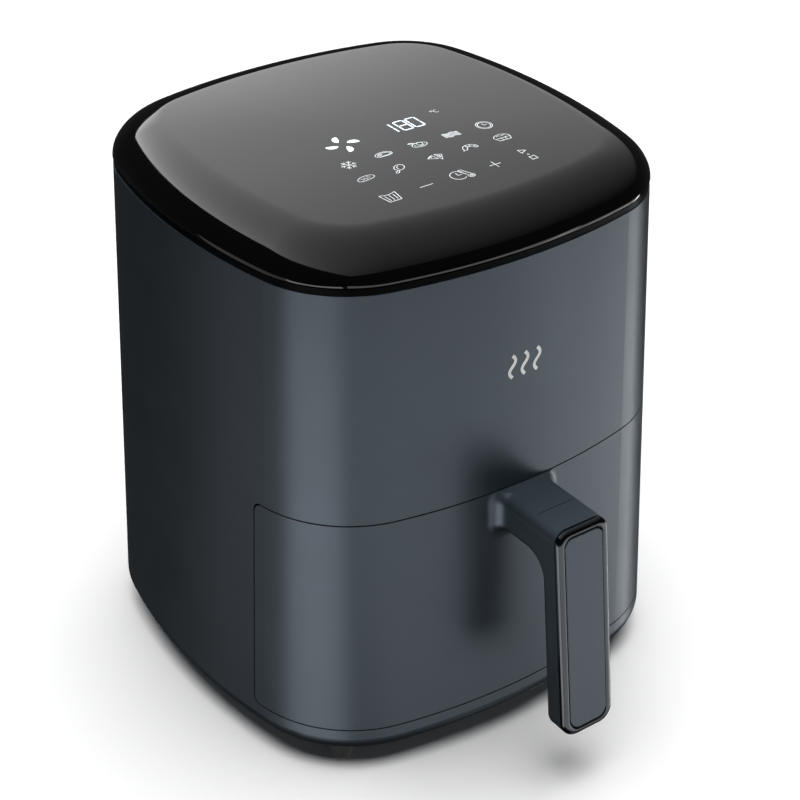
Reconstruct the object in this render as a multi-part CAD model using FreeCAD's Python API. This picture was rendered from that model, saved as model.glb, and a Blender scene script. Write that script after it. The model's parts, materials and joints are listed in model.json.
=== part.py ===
"""Digital air fryer with a pull-out drawer, modelled as separate pieces in millimetres.

Frame: +Z up, the front (handle) side is -Y. The origin is on the table, under the middle of the
body. Every piece is written to parts/NAME.step.
"""
import FreeCAD
import Part
import math
import os

Vec = FreeCAD.Vector

# ---------------------------------------------------------------- driving dimensions
# Body outline in plan, at the lid seam: two arcs for the sides, two for front and back, four corners.
seam_half_width = 127.0        # X, at the lid seam
seam_half_depth = 127.5        # Y, at the lid seam
front_arc_radius = 328.0
side_arc_radius = 355.0
corner_radius = 59.5
draft = 0.042                  # outward growth of the wall per mm going down

foot_height = 11.0
shell_bottom_z = foot_height
drawer_bottom_z = 27.4
lid_seam_z = 290.5
head_height = 130.0            # from the top of the drawer up to the lid seam
drawer_top_z = lid_seam_z - head_height
shell_wall = 2.6
bottom_roll = 10.0             # radius of the rolled lower edge
shell_lip_width = 20.0         # how far the shell turns in under the body

drawer_rear_y = -66.5          # where the drawer front ends on the sides
drawer_corner = 5.0            # corner radius of the drawer front, seen from the side
drawer_gap = 0.8               # visible gap round the drawer front
front_depth = 10.6             # thickness of the hollow drawer front
inner_cover_wall = 2.0

ring_height = 4.0              # trim ring under the lid
lid_roll_width = 27.5
lid_roll_height = 20.0
lid_roll_power = 1.84
lid_crown = 3.0
lid_crown_width = 52.0
lid_wall = 2.6

# Bowl, its tray and the chamber round them.
bowl_center_y = -6.5
bowl_side_room = 24.0          # from the outer wall's line at the lid seam to the bowl
bowl_half_x = seam_half_width - bowl_side_room   # outside, at the rim
bowl_half_y = seam_half_depth - bowl_side_room
bowl_taper = 4.0               # how much narrower each side is at the bottom
bowl_front_flat = 58.0         # half the straight part of the bowl's front
bowl_corner = bowl_half_x - bowl_front_flat
bowl_bottom_z = drawer_bottom_z + 5.6
bowl_rim_z = drawer_top_z - 7.5
bowl_wall = 1.5
bowl_floor_round = 12.0
rim_width = 5.5
rim_thickness = 1.5
tray_thickness = 2.5
tray_stand = 14.0              # tray underside above the bowl's floor
tray_edge_gap = 2.0
tray_hole_radius = 3.0
tray_hole_pitch = 15.0

liner_wall = 1.5
liner_side_gap = 7.0           # liner's inside face, outside the bowl's wall at the rim
liner_rear_gap = 8.5
liner_corner = bowl_corner + 5.0
liner_floor_z = drawer_bottom_z - 3.4
liner_roof_z = drawer_top_z + 7.5
liner_front_y = drawer_rear_y + 0.5
liner_lip = 6.0                # how far the liner's roof turns down at its front

# Heater and fans, on one upright axis over the middle of the bowl.
axis_y = bowl_center_y
dish_radius = min(bowl_half_x, bowl_half_y) - 11.0
dish_height = 34.0
dish_wall = 1.2
dish_flange = 8.0
element_rod = 3.2
probe_radius = 1.8
probe_x = 0.0
probe_y = -(dish_radius - 23.0)
element_pitch = 14.0
element_radius = dish_radius - 13.0    # of its outer turn
element_z = liner_roof_z + 11.0
element_leg_angle = 15.0
element_gap_angle = 16.0
guard_z = liner_roof_z + 3.0
shaft_radius = 4.0
shaft_clearance = 0.05
shaft_bottom_z = liner_roof_z + 15.0
shaft_top_z = liner_roof_z + 104.0
hot_fan_radius = element_radius - element_pitch - 8.0
hot_fan_z = liner_roof_z + 19.0
hot_fan_height = 12.0
hot_fan_blades = 10
cool_fan_radius = hot_fan_radius - 5.0
cool_fan_z = liner_roof_z + 42.0
cool_fan_height = 11.0
cool_fan_blades = 9
deck_z = liner_roof_z + 58.0
deck_wall = 2.5
stator_height = 24.0
stator_z = deck_z + 15.0
rotor_radius = 15.0
rotor_air_gap = 0.4

# Handle.
grip_width = 34.0
grip_bottom_z = drawer_bottom_z + 6.1
grip_reach = 51.0              # from the outer wall's line at the lid seam to the grip's front
grip_top_y = -seam_half_depth - grip_reach
grip_lean = 0.118              # how far the grip's front moves out per mm going down
grip_back_top_y = grip_top_y + 11.5
grip_back_lean = 0.11
arm_underside_z = drawer_top_z - 22.5
arm_inner_round = 14.0
grip_top_round = 7.5
grip_bottom_round = 9.0
grip_heel_round = 8.0
grip_edge_round = 3.6
root_flare = 8.0
screw_hole_gap = 0.1           # round every screw's shank
root_joint_y = -seam_half_depth - 18.5
cap_front_y = -seam_half_depth - 33.1
cap_half_width = 12.0
cap_thickness = 3.0
cap_gap = 0.4                  # at its front and underneath; its sides are tight
bezel_depth = 3.6
bezel_inner_margin = 4.3       # from the bezel's outside to the insert panel
insert_gap = 0.35

fit_gap = 0.2                  # between pieces that sit against each other


# ---------------------------------------------------------------- small helpers
def box(x0, y0, z0, x1, y1, z1):
    """A box between two corners."""
    return Part.makeBox(x1 - x0, y1 - y0, z1 - z0, Vec(x0, y0, z0))


def cylinder(x, y, z0, z1, radius):
    """An upright cylinder from z0 to z1."""
    return Part.makeCylinder(radius, z1 - z0, Vec(x, y, z0))


def tube(x, y, z0, z1, outer, inner):
    """An upright tube."""
    return cylinder(x, y, z0, z1, outer).cut(cylinder(x, y, z0 - 1, z1 + 1, inner))


def cylinder_y(x, y0, y1, z, radius):
    """A cylinder along +Y from y0 to y1."""
    return Part.makeCylinder(radius, y1 - y0, Vec(x, y0, z), Vec(0, 1, 0))


def fused(shapes):
    """Several touching solids made one."""
    result = shapes[0]
    if len(shapes) > 1:
        result = result.fuse(shapes[1:])
    return result.removeSplitter()


def group(shapes):
    """Separate solids kept together in one node."""
    return Part.makeCompound(shapes)


def centre_arc(center, radius, start, end):
    """An arc about an upright axis, by its angles."""
    points = [
        Vec(center.x + radius * math.cos(a), center.y + radius * math.sin(a), center.z)
        for a in (start, (start + end) / 2, end)
    ]
    return Part.Arc(*points).toShape()


def outline_wire(offset, z):
    """The body's plan outline, moved outwards by offset from its size at the lid seam."""
    a, b = seam_half_width + offset, seam_half_depth + offset
    front, side, corner = front_arc_radius + offset, side_arc_radius + offset, corner_radius + offset
    front_c, side_c = (0.0, b - front), (a - side, 0.0)
    r1, r2 = front - corner, side - corner
    dx, dy = side_c[0] - front_c[0], side_c[1] - front_c[1]
    d = math.hypot(dx, dy)
    along = (r1 * r1 - r2 * r2 + d * d) / (2 * d)
    across = math.sqrt(r1 * r1 - along * along)
    cx = front_c[0] + dx / d * along + dy / d * across
    cy = front_c[1] + dy / d * along - dx / d * across
    side_end = math.atan2(cy - side_c[1], cx - side_c[0])
    front_start = math.atan2(cy - front_c[1], cx - front_c[0])
    quarter_turn = math.pi / 2
    edges = [
        centre_arc(Vec(side_c[0], 0, z), side, -side_end, side_end),
        centre_arc(Vec(cx, cy, z), corner, side_end, front_start),
        centre_arc(Vec(0, front_c[1], z), front, front_start, math.pi - front_start),
        centre_arc(Vec(-cx, cy, z), corner, math.pi - front_start, math.pi - side_end),
        centre_arc(Vec(-side_c[0], 0, z), side, math.pi - side_end, math.pi + side_end),
        centre_arc(Vec(-cx, -cy, z), corner, math.pi + side_end, math.pi + front_start),
        centre_arc(Vec(0, -front_c[1], z), front, math.pi + front_start, 4 * quarter_turn - front_start),
        centre_arc(Vec(cx, -cy, z), corner, -front_start, -side_end),
    ]
    return Part.Wire(edges)


def wall_offset(z):
    """How far the drafted wall stands outside the seam's outline at height z."""
    return draft * (lid_seam_z - z)


def body_block(inset, z0, z1):
    """The solid body between two heights, its drafted wall moved in by inset."""
    wires = [outline_wire(wall_offset(z) - inset, z) for z in (z0, z1)]
    return Part.makeLoft(wires, True, True)


def straight_block(offset, z0, z1):
    """The plan outline with no draft, between two heights."""
    return Part.Face(outline_wire(offset, z0)).extrude(Vec(0, 0, z1 - z0))


def rounded_wire(half_x, half_y, radius, z, center_y=0.0, center_x=0.0):
    """A rounded rectangle in plan."""
    ix, iy = half_x - radius, half_y - radius
    corners = [(ix, iy, 0), (-ix, iy, 1), (-ix, -iy, 2), (ix, -iy, 3)]
    edges = []
    arcs = []
    for x, y, quarter in corners:
        start = quarter * math.pi / 2
        arcs.append(centre_arc(Vec(center_x + x, center_y + y, z), radius, start, start + math.pi / 2))
    for i, arc in enumerate(arcs):
        edges.append(arc)
        start = arc.Vertexes[-1].Point
        end = arcs[(i + 1) % 4].Vertexes[0].Point
        edges.append(Part.LineSegment(start, end).toShape())
    return Part.Wire(edges)


def rounded_block(half_x, half_y, radius, z0, z1, center_y=0.0, center_x=0.0):
    """A rounded rectangle pulled up from z0 to z1."""
    face = Part.Face(rounded_wire(half_x, half_y, radius, z0, center_y, center_x))
    return face.extrude(Vec(0, 0, z1 - z0))


def rounded_loft(sections, center_y):
    """A solid through rounded rectangles given as (half width, half depth, corner radius, z)."""
    wires = [rounded_wire(hx, hy, r, z, center_y) for hx, hy, r, z in sections]
    return Part.makeLoft(wires, True, True)


def revolved(profile, x, y):
    """A closed (radius, z) profile turned about the upright axis through x, y."""
    points = [Vec(x + r, y, z) for r, z in profile]
    face = Part.Face(Part.makePolygon(points + [points[0]]))
    return face.revolve(Vec(x, y, 0), Vec(0, 0, 1), 360)


def side_profile(points, half_width):
    """A polygon in the YZ plane pulled across X to both sides."""
    corners = [Vec(-half_width, y, z) for y, z in points]
    face = Part.Face(Part.makePolygon(corners + [corners[0]]))
    return face.extrude(Vec(2 * half_width, 0, 0))


def edges_where(shape, test):
    """The edges whose middle point passes a test."""
    found = []
    for edge in shape.Edges:
        middle = edge.valueAt((edge.FirstParameter + edge.LastParameter) / 2)
        if test(middle):
            found.append(edge)
    return found


def screw(position, direction, head_radius, head_height, shank_radius, length):
    """A pan-head screw: the head's underside is at position, the shank points along direction."""
    head = Part.makeCylinder(head_radius, head_height, position, direction * -1)
    shank = Part.makeCylinder(shank_radius, length, position, direction)
    slot_width, slot_depth = 0.9, head_height * 0.5
    top = position - direction * head_height
    side = Vec(1, 0, 0) if abs(direction.x) < 0.5 else Vec(0, 1, 0)
    other = direction.cross(side)
    cuts = []
    for u, w in ((side, other), (other, side)):
        corner = top - u * head_radius * 0.65 - w * slot_width / 2
        base = Part.makePolygon([
            corner,
            corner + u * head_radius * 1.3,
            corner + u * head_radius * 1.3 + w * slot_width,
            corner + w * slot_width,
            corner,
        ])
        cuts.append(Part.Face(base).extrude(direction * slot_depth))
    return head.fuse(shank).cut(cuts[0].fuse(cuts[1]))


# ---------------------------------------------------------------- outer shell and base
def drawer_window(gap):
    """The space that the drawer front fills, made smaller all round by gap."""
    rear, low, high = drawer_rear_y - gap, drawer_bottom_z + gap, drawer_top_z - gap
    reach = seam_half_width + 40.0
    block = box(-reach, -reach, low, reach, rear, high)
    rear_edges = edges_where(block, lambda p: abs(p.y - rear) < 0.01 and abs(p.x) < 0.01)
    return block.makeFillet(drawer_corner, rear_edges)


rear_cover_half = 62.0
rear_cover_low = shell_bottom_z + 19.0
rear_cover_high = lid_seam_z - 28.5
rear_cover_round = 10.0
rear_cover_gap = 0.4
cover_ledge = 2.4              # thickness of the ledge behind the cover's edge
cover_ledge_width = 16.0


def rear_window(gap):
    """The opening for the rear cover, seen from behind, made smaller all round by gap."""
    half, low, high = rear_cover_half - gap, rear_cover_low + gap, rear_cover_high - gap
    block = box(-half, 60, low, half, 200, high)
    upright = edges_where(block, lambda p: abs(abs(p.x) - half) < 0.01 and abs(p.y - 130) < 0.01)
    return block.makeFillet(rear_cover_round, upright)


def rolled_body(inset):
    """The whole outer body with its lower edge rolled under."""
    low = shell_bottom_z + inset
    block = body_block(inset, low, lid_seam_z)
    radius = bottom_roll - inset
    bottom = edges_where(block, lambda p: abs(p.z - low) < 0.01)
    return block.makeFillet(radius, bottom)


outer_body = rolled_body(0.0)


def make_outer_shell():
    inner = rolled_body(shell_wall)
    top_open = body_block(shell_wall, lid_seam_z - 30, lid_seam_z)
    top_cut = straight_block(-shell_wall - 0.2, lid_seam_z - 5, lid_seam_z + 5)
    shell = outer_body.cut(inner).cut(top_open.fuse(top_cut))
    lip_inside = wall_offset(shell_bottom_z) - shell_lip_width
    shell = shell.cut(straight_block(lip_inside, shell_bottom_z - 5, shell_bottom_z + 10))
    shell = shell.cut(drawer_window(0.0))
    ledge = body_block(shell_wall, rear_cover_low - 10, rear_cover_high + 10)
    ledge = ledge.cut(body_block(shell_wall + cover_ledge, rear_cover_low - 11, rear_cover_high + 11))
    ledge = ledge.common(rear_window(-6.0)).cut(rear_window(cover_ledge_width))
    ledge_holes = [screw_hole(place) for place in cover_screw_places()]
    ledge_holes.append(cylinder_y(0, 100, 160, gland_z, gland_neck + fit_gap))
    ledge = ledge.cut(group(ledge_holes))
    return fused([shell.cut(rear_window(0.0)), ledge])


def screw_hole(place):
    """The clearance hole for a screw: its place is what screw() takes."""
    position, direction, head_radius, head_height, shank_radius, length = place
    start = position - direction * 0.5
    return Part.makeCylinder(shank_radius + screw_hole_gap, length + 1.0, start, direction)


def base_screw_places():
    x, y, z = seam_half_width - 57.0, seam_half_depth - 35.5, shell_bottom_z + 0.6
    up = Vec(0, 0, 1)
    return [(Vec(sx * x, sy * y, z), up, 3.4, 0.55, 1.6, 3.6) for sx in (-1, 1) for sy in (-1, 1)]


vent_slot_width = 3.4
vent_slot_length = 40.0
vent_pitch = 7.0
base_wall = 2.4


def make_base_plate():
    low = shell_bottom_z + 0.6
    top = shell_bottom_z + shell_wall + base_wall + fit_gap
    lip_inside = wall_offset(shell_bottom_z) - shell_lip_width
    plug = straight_block(lip_inside - 0.4, low, top)
    flange = straight_block(lip_inside + 6, shell_bottom_z + shell_wall + fit_gap, top)
    plate = fused([plug, flange])
    slots = []
    for row_y in (-62.0, -10.0, 42.0):
        for i in range(-6, 7):
            x = i * vent_pitch
            slots.append(box(x - vent_slot_width / 2, row_y - vent_slot_length / 2, low - 1,
                             x + vent_slot_width / 2, row_y + vent_slot_length / 2, top + 1))
    return plate.cut(group(slots + [screw_hole(s) for s in base_screw_places()]))


foot_x, foot_y = seam_half_width - 28.5, seam_half_depth - 24.5
foot_top_radius = 7.5
foot_tip_radius = 5.5


def make_foot(side_x, side_y):
    """A rubber foot that follows the rolled edge above it."""
    x, y = side_x * foot_x, side_y * foot_y
    cone = Part.makeCone(foot_tip_radius, foot_top_radius, foot_height - 2, Vec(x, y, 0), Vec(0, 0, 1))
    rim = [e for e in cone.Edges if e.Length > 1 and abs(e.CenterOfMass.z) < 0.01]
    cone = cone.makeFillet(1.6, rim)
    neck = cylinder(x, y, foot_height - 2, foot_height + 6, foot_top_radius)
    return fused([cone, neck]).cut(outer_body)


louvre_half = 46.0
louvre_low, louvre_high = deck_z - 22.0, deck_z + 26.0
louvre_pitch, louvre_gap = 6.6, 3.4
gland_z = shell_bottom_z + 37.0
gland_bore = 3.7
gland_neck = 7.0
gland_flange = 10.0


def rear_face_y(z):
    """Where the outside of the rear wall is, on the middle line."""
    return seam_half_depth + wall_offset(z)


def make_rear_cover():
    skin = body_block(0.0, rear_cover_low - 5, rear_cover_high + 5)
    skin = skin.cut(body_block(shell_wall, rear_cover_low - 6, rear_cover_high + 6))
    cover = skin.common(rear_window(rear_cover_gap))
    slots = []
    z = louvre_low
    while z + louvre_gap <= louvre_high:
        slots.append(box(-louvre_half, 100, z, louvre_half, 160, z + louvre_gap))
        z += louvre_pitch
    hole = cylinder_y(0, 100, 160, gland_z, gland_neck + 0.1)
    return cover.cut(group(slots + [screw_hole(place) for place in cover_screw_places()])).cut(hole)


def make_cord_gland():
    """A bush that guards the mains lead where it passes through the rear cover."""
    face = rear_face_y(gland_z)
    flange = cylinder_y(0, face + 0.6, face + 4.0, gland_z, gland_flange)
    nose = Part.makeCone(gland_flange - 1.5, gland_neck - 1.2, 6.0, Vec(0, face + 4.0, gland_z), Vec(0, 1, 0))
    neck = cylinder_y(0, face - 6.0, face + 0.6, gland_z, gland_neck)
    bore = cylinder_y(0, face - 30, face + 30, gland_z, gland_bore)
    return fused([flange, nose, neck]).cut(bore)


def cover_screw_places():
    """Rear cover screws, heads resting just outside it."""
    places = []
    x = rear_cover_half - 10.0
    middle_z = (rear_cover_low + rear_cover_high) / 2
    for z in (rear_cover_low + 10.0, middle_z, rear_cover_high - 12.0):
        arc = front_arc_radius + wall_offset(z)
        sagitta = arc - math.sqrt(arc * arc - x * x)
        y = rear_face_y(z) - sagitta + 0.9
        for side in (-1, 1):
            places.append((Vec(side * x, y, z), Vec(0, -1, 0), 3.2, 1.4, 1.4, 7.0))
    return places


def make_cover_screws():
    return group([screw(*place) for place in cover_screw_places()])


# ---------------------------------------------------------------- lid
def lid_height(inset):
    """Height of the lid's surface above the trim ring, at a distance in from its edge."""
    roll = lid_roll_height
    if inset < lid_roll_width:
        share = 1 - inset / lid_roll_width
        roll *= (1 - share ** lid_roll_power) ** (1 / lid_roll_power)
    crown_share = 1 - min(inset, lid_crown_width) / lid_crown_width
    return roll + lid_crown * (1 - crown_share ** 2)


def lid_dome(shrink, base_z):
    """The solid under the lid's surface, made smaller all round by shrink."""
    turn_points = [0.0, 0.12, 0.26, 0.40, 0.55, 0.70, 0.85, 1.0]
    insets = [lid_roll_width * (1 - math.cos(t * math.pi / 2)) for t in turn_points] + [38.0, 50.0]
    wires = []
    for inset in insets:
        wires.append(outline_wire(-inset - shrink, base_z + lid_height(inset) - shrink))
    dome = Part.makeLoft(wires, True, False)
    skirt = straight_block(-shrink, base_z - 6, base_z - shrink)
    if shrink == 0.0:
        return dome
    return dome.fuse(skirt)


def make_lid():
    base_z = lid_seam_z + ring_height
    return lid_dome(0.0, base_z).cut(lid_dome(lid_wall, base_z))


def make_lid_ring():
    """The black band between the shell and the lid."""
    groove = 0.35
    band = straight_block(-0.5, lid_seam_z + groove, lid_seam_z + ring_height - groove)
    spigot = straight_block(-shell_wall - 0.6, lid_seam_z - 4, lid_seam_z + groove + 1)
    upper = straight_block(-lid_wall - 1.8, lid_seam_z + groove, lid_seam_z + ring_height + 1.6)
    hollow = straight_block(-8.0, lid_seam_z - 5, lid_seam_z + ring_height + 5)
    return fused([band, spigot, upper]).cut(hollow)


board_half_x = 56.0
board_low_y, board_high_y = -82.0, 8.0
touch_board_z = lid_seam_z + 15.0
board_thickness = 1.6
key_pitch_x = 21.9
key_rows = (-71.0, -46.5, -28.0)
key_radius = 6.2


def key_positions():
    """Centres of the touch keys: three rows of five."""
    return [(column * key_pitch_x, y) for y in key_rows for column in range(-2, 3)]


def make_lid_frame():
    """The carrier under the lid that holds the touch board."""
    low, high = lid_seam_z + ring_height + 3.4, lid_seam_z + ring_height + 5.4
    frame = straight_block(-12.0, low, high)
    frame = frame.cut(box(-46, -72, low - 1, 46, -2, high + 1))
    frame = frame.cut(box(-80, 14, low - 1, 80, 92, high + 1))
    ledge = straight_block(-8.4, lid_seam_z + ring_height + 3.4, high)
    frame = fused([frame, ledge.cut(straight_block(-14.0, low - 1, high + 1))])
    posts = [
        cylinder(sx * (board_half_x - 4), y, high, touch_board_z, 3.0)
        for sx in (-1, 1)
        for y in (board_low_y + 4, board_high_y - 4)
    ]
    return fused([frame] + posts)


def make_touch_board():
    return box(-board_half_x, board_low_y, touch_board_z, board_half_x, board_high_y,
               touch_board_z + board_thickness)


def make_light_guide():
    """The block that keeps each key's light apart."""
    low, high = touch_board_z + board_thickness, touch_board_z + board_thickness + 5.0
    block = box(-54, -80, low, 54, -19.5, high)
    wells = [cylinder(x, y, low - 1, high + 1, key_radius) for x, y in key_positions()]
    return block.cut(group(wells))


def make_key_pads():
    """Conductive pads that couple the board to the lid over each key."""
    low, high = touch_board_z + board_thickness, touch_board_z + board_thickness + 5.6
    return group([tube(x, y, low, high, key_radius - 1.6, key_radius - 3.0) for x, y in key_positions()])


def make_display_module():
    """The three-digit display."""
    low = touch_board_z + board_thickness
    body = box(-4, -16, low, 26, 4, low + 5.5)
    window = box(-2, -14, low + 5.0, 24, 2, low + 6)
    return body.cut(window)


# ---------------------------------------------------------------- chamber
liner_half_x = bowl_half_x + liner_side_gap
liner_rear_y = bowl_center_y + bowl_half_y + liner_rear_gap
liner_roof_front_y = -seam_half_depth + 14.0


def liner_block(grow, low, high):
    """The liner's plan between two heights, grown all round."""
    half_y = (liner_rear_y - liner_roof_front_y) / 2
    center_y = (liner_rear_y + liner_roof_front_y) / 2
    return rounded_block(liner_half_x + grow, half_y + grow, liner_corner + grow, low, high, center_y)


def make_chamber_liner():
    """A steel box, open to the front for the drawer; its roof reaches over the whole bowl."""
    outer = liner_block(liner_wall, liner_floor_z - liner_wall, liner_roof_z + liner_wall)
    inner = liner_block(0.0, liner_floor_z, liner_roof_z)
    mouth = box(-200, -300, 0, 200, liner_front_y, liner_roof_z - liner_lip)
    dish_hole = cylinder(0, axis_y, liner_roof_z - 5, liner_roof_z + 5, dish_radius - dish_wall)
    return outer.cut(inner).cut(mouth).cut(dish_hole)


def liner_outside(gap):
    """The liner's outer box, grown by gap and run forward past the drawer."""
    grow = liner_wall + gap
    half_x = liner_half_x + grow
    return box(-half_x, -200, liner_floor_z - grow, half_x, 0, liner_roof_z + grow)


bezel_thickness = 3.0


def make_chamber_bezel():
    """The upright frame that closes the gap between the liner and the shell behind the drawer."""
    low, high = shell_bottom_z + shell_wall + base_wall + 1.0, liner_roof_z + liner_wall - fit_gap
    rear = drawer_rear_y + bezel_thickness + 1.0
    slab = box(-200, drawer_rear_y + 1.0, low, 200, rear, high)
    plate = rolled_body(shell_wall + fit_gap).common(slab)
    plunger_hole = cylinder_y(switch_x, -80, -50, switch_z, plunger_radius + 0.4)
    return plate.cut(liner_outside(fit_gap)).cut(plunger_hole)


def make_drawer_ceiling():
    """The plate over the drawer front, between the liner's roof and the shell."""
    low, high = drawer_top_z + 2.0, drawer_top_z + 4.5
    plate = body_block(shell_wall + fit_gap, low, high)
    keep = box(-200, -200, low - 1, 200, drawer_rear_y + 0.6, high + 1)
    return plate.common(keep).cut(liner_block(liner_wall + fit_gap, low - 1, high + 1))


def make_slide_rail(side):
    """A rail on the liner's side wall that carries the bowl's rim."""
    inner = bowl_half_x + 1.0
    outer = liner_half_x - fit_gap
    top = bowl_rim_z - rim_thickness - 0.4
    front = max(liner_front_y + 2, liner_roof_front_y + liner_corner - 0.5)
    rail = box(inner, front, top - 8, outer, liner_rear_y - liner_corner, top)
    lead = edges_where(rail, lambda p: abs(p.y - front) < 0.01 and abs(p.z - top) < 0.01)
    rail = rail.makeChamfer(2.5, lead)
    return rail if side > 0 else rail.mirror(Vec(0, 0, 0), Vec(1, 0, 0))


# ---------------------------------------------------------------- heater
def make_heat_reflector():
    low = liner_roof_z + liner_wall
    high = low + dish_height
    outer = dish_radius
    slope = 6.0
    profile = [
        (outer + dish_flange, low), (outer + dish_flange, low + dish_wall), (outer, low + dish_wall),
        (outer - slope, high), (shaft_radius + 3.0, high), (shaft_radius + 3.0, high - dish_wall),
        (outer - slope - dish_wall, high - dish_wall), (outer - dish_wall, low),
    ]
    dish = revolved(profile, 0, axis_y)
    holes = [cylinder(probe_x, axis_y + probe_y, high - 5, high + 5, probe_radius + 0.3)]
    for radius in (element_radius, element_radius - element_pitch):
        leg = element_leg_point(radius)
        holes.append(cylinder(leg.x, axis_y + leg.y, low + 4, high + 5, element_rod + 0.4))
    return dish.cut(group(holes))


def tube_arc(center, radius, start, sweep):
    """A stretch of the element's tube bent round an upright axis, by angles in degrees."""
    ring = Part.makeTorus(radius, element_rod, Vec(0, 0, 0), Vec(0, 0, 1), -180, 180, sweep)
    ring.rotate(Vec(0, 0, 0), Vec(0, 0, 1), start)
    ring.translate(center)
    return ring


def make_heating_element():
    """A tube bent into two turns that run round, turn back and rise as two legs."""
    middle = Vec(0, axis_y, element_z)
    inner_radius = element_radius - element_pitch
    start = element_leg_angle
    sweep = 360.0 - element_gap_angle
    end = math.radians(start + sweep)
    bend_radius = element_pitch / 2
    bend_from_axis = element_radius - bend_radius
    bend_center = middle + Vec(bend_from_axis * math.cos(end), bend_from_axis * math.sin(end), 0)
    pieces = [
        tube_arc(middle, element_radius, start, sweep),
        tube_arc(middle, inner_radius, start, sweep),
        tube_arc(bend_center, bend_radius, start + sweep, 180.0),
    ]
    leg_height = liner_roof_z + liner_wall + dish_height + 6.0 - element_z
    for radius in (element_radius, inner_radius):
        foot = middle + element_leg_point(radius)
        pieces.append(Part.makeSphere(element_rod, foot))
        pieces.append(Part.makeCylinder(element_rod, leg_height, foot, Vec(0, 0, 1)))
    return fused(pieces)


def element_leg_point(radius):
    """Where a leg of the element stands, from the axis."""
    angle = math.radians(element_leg_angle)
    return Vec(radius * math.cos(angle), radius * math.sin(angle), 0)


def make_element_clips():
    """Three straps that hang the element from the reflector."""
    clips = []
    high = liner_roof_z + liner_wall + dish_height - dish_wall
    for angle in (60, 180, 300):
        radius = element_radius
        a = math.radians(angle)
        x, y = radius * math.cos(a), axis_y + radius * math.sin(a)
        strap = box(-1.0, -4.0, element_z + element_rod + 0.3, 1.0, 4.0, high)
        strap.rotate(Vec(0, 0, 0), Vec(0, 0, 1), angle)
        strap.translate(Vec(x, y, 0))
        clips.append(strap)
    return group(clips)


def make_heater_guard():
    """A stamped grille of rings and spokes under the heater."""
    low, high = guard_z, guard_z + 1.5
    outer = dish_radius - dish_wall - 1.0
    rings = []
    radius = outer
    while radius > 20:
        rings.append(tube(0, axis_y, low, high, radius, radius - 2.4))
        radius -= 12.0
    spokes = []
    for i in range(8):
        bar = box(10, -1.2, low, outer - 0.8, 1.2, high)
        bar.rotate(Vec(0, 0, 0), Vec(0, 0, 1), i * 45)
        bar.translate(Vec(0, axis_y, 0))
        spokes.append(bar)
    hub = tube(0, axis_y, low, high, 13.0, 7.0)
    return fused([hub] + rings + spokes)


def make_fan(z, height, radius, blades, twist, hub_radius, hub_low, hub_high, disc_on_top):
    """A bladed wheel on the motor shaft."""
    disc_z = z + height - 1.2 if disc_on_top else z
    disc = cylinder(0, axis_y, disc_z, disc_z + 1.2, radius)
    hub = cylinder(0, axis_y, hub_low, hub_high, hub_radius)
    pieces = [disc, hub]
    for i in range(blades):
        blade = box(hub_radius + 6, -0.8, z, radius - 2, 0.8, z + height)
        blade.rotate(Vec(hub_radius + 6, 0, 0), Vec(0, 0, 1), twist)
        blade.rotate(Vec(0, 0, 0), Vec(0, 0, 1), i * 360.0 / blades)
        blade.translate(Vec(0, axis_y, 0))
        pieces.append(blade)
    wheel = fused(pieces).common(cylinder(0, axis_y, min(z, hub_low), max(z + height, hub_high), radius))
    return wheel.cut(cylinder(0, axis_y, hub_low - 1, hub_high + 1, shaft_radius))


def make_convection_fan():
    return make_fan(hot_fan_z, hot_fan_height, hot_fan_radius, hot_fan_blades, 22,
                    10.0, hot_fan_z, hot_fan_z + hot_fan_height + 2, True)


def make_cooling_fan():
    return make_fan(cool_fan_z, cool_fan_height, cool_fan_radius, cool_fan_blades, -18,
                    11.0, cool_fan_z - 1.5, cool_fan_z + cool_fan_height, False)


def make_motor_shaft():
    return cylinder(0, axis_y, shaft_bottom_z, shaft_top_z, shaft_radius)


def make_fan_nut():
    hexagon = Part.makePolygon([
        Vec(7 * math.cos(math.radians(60 * i)), axis_y + 7 * math.sin(math.radians(60 * i)), hot_fan_z - 3.6)
        for i in range(7)
    ])
    nut = Part.Face(hexagon).extrude(Vec(0, 0, 3.6))
    return nut.cut(cylinder(0, axis_y, hot_fan_z - 5, hot_fan_z + 5, shaft_radius))


def make_rotor_core():
    return tube(0, axis_y, stator_z, stator_z + stator_height, rotor_radius, shaft_radius)


def make_motor_stator():
    """A stack of plates with the rotor's bore and a window for the coil."""
    body = rounded_block(31, 27, 3.0, stator_z, stator_z + stator_height, axis_y)
    bore = cylinder(0, axis_y, stator_z - 1, stator_z + stator_height + 1, rotor_radius + rotor_air_gap)
    window = box(-22, axis_y + 17.0, stator_z - 1, 22, axis_y + 22.5, stator_z + stator_height + 1)
    return body.cut(bore).cut(window)


def make_motor_coil():
    """The winding on the stator's rear limb."""
    low, high = stator_z - 3.5, stator_z + stator_height + 3.5
    outer = box(-16, axis_y + 17.2, low, 16, axis_y + 32.0, high)
    inner = box(-17, axis_y + 22.5, stator_z - 0.1, 17, axis_y + 27.1, stator_z + stator_height + 0.1)
    return outer.cut(inner)


def make_bearing(low, high):
    """A plain bush round the shaft."""
    return tube(0, axis_y, low, high, 7.5, shaft_radius + shaft_clearance)


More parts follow.
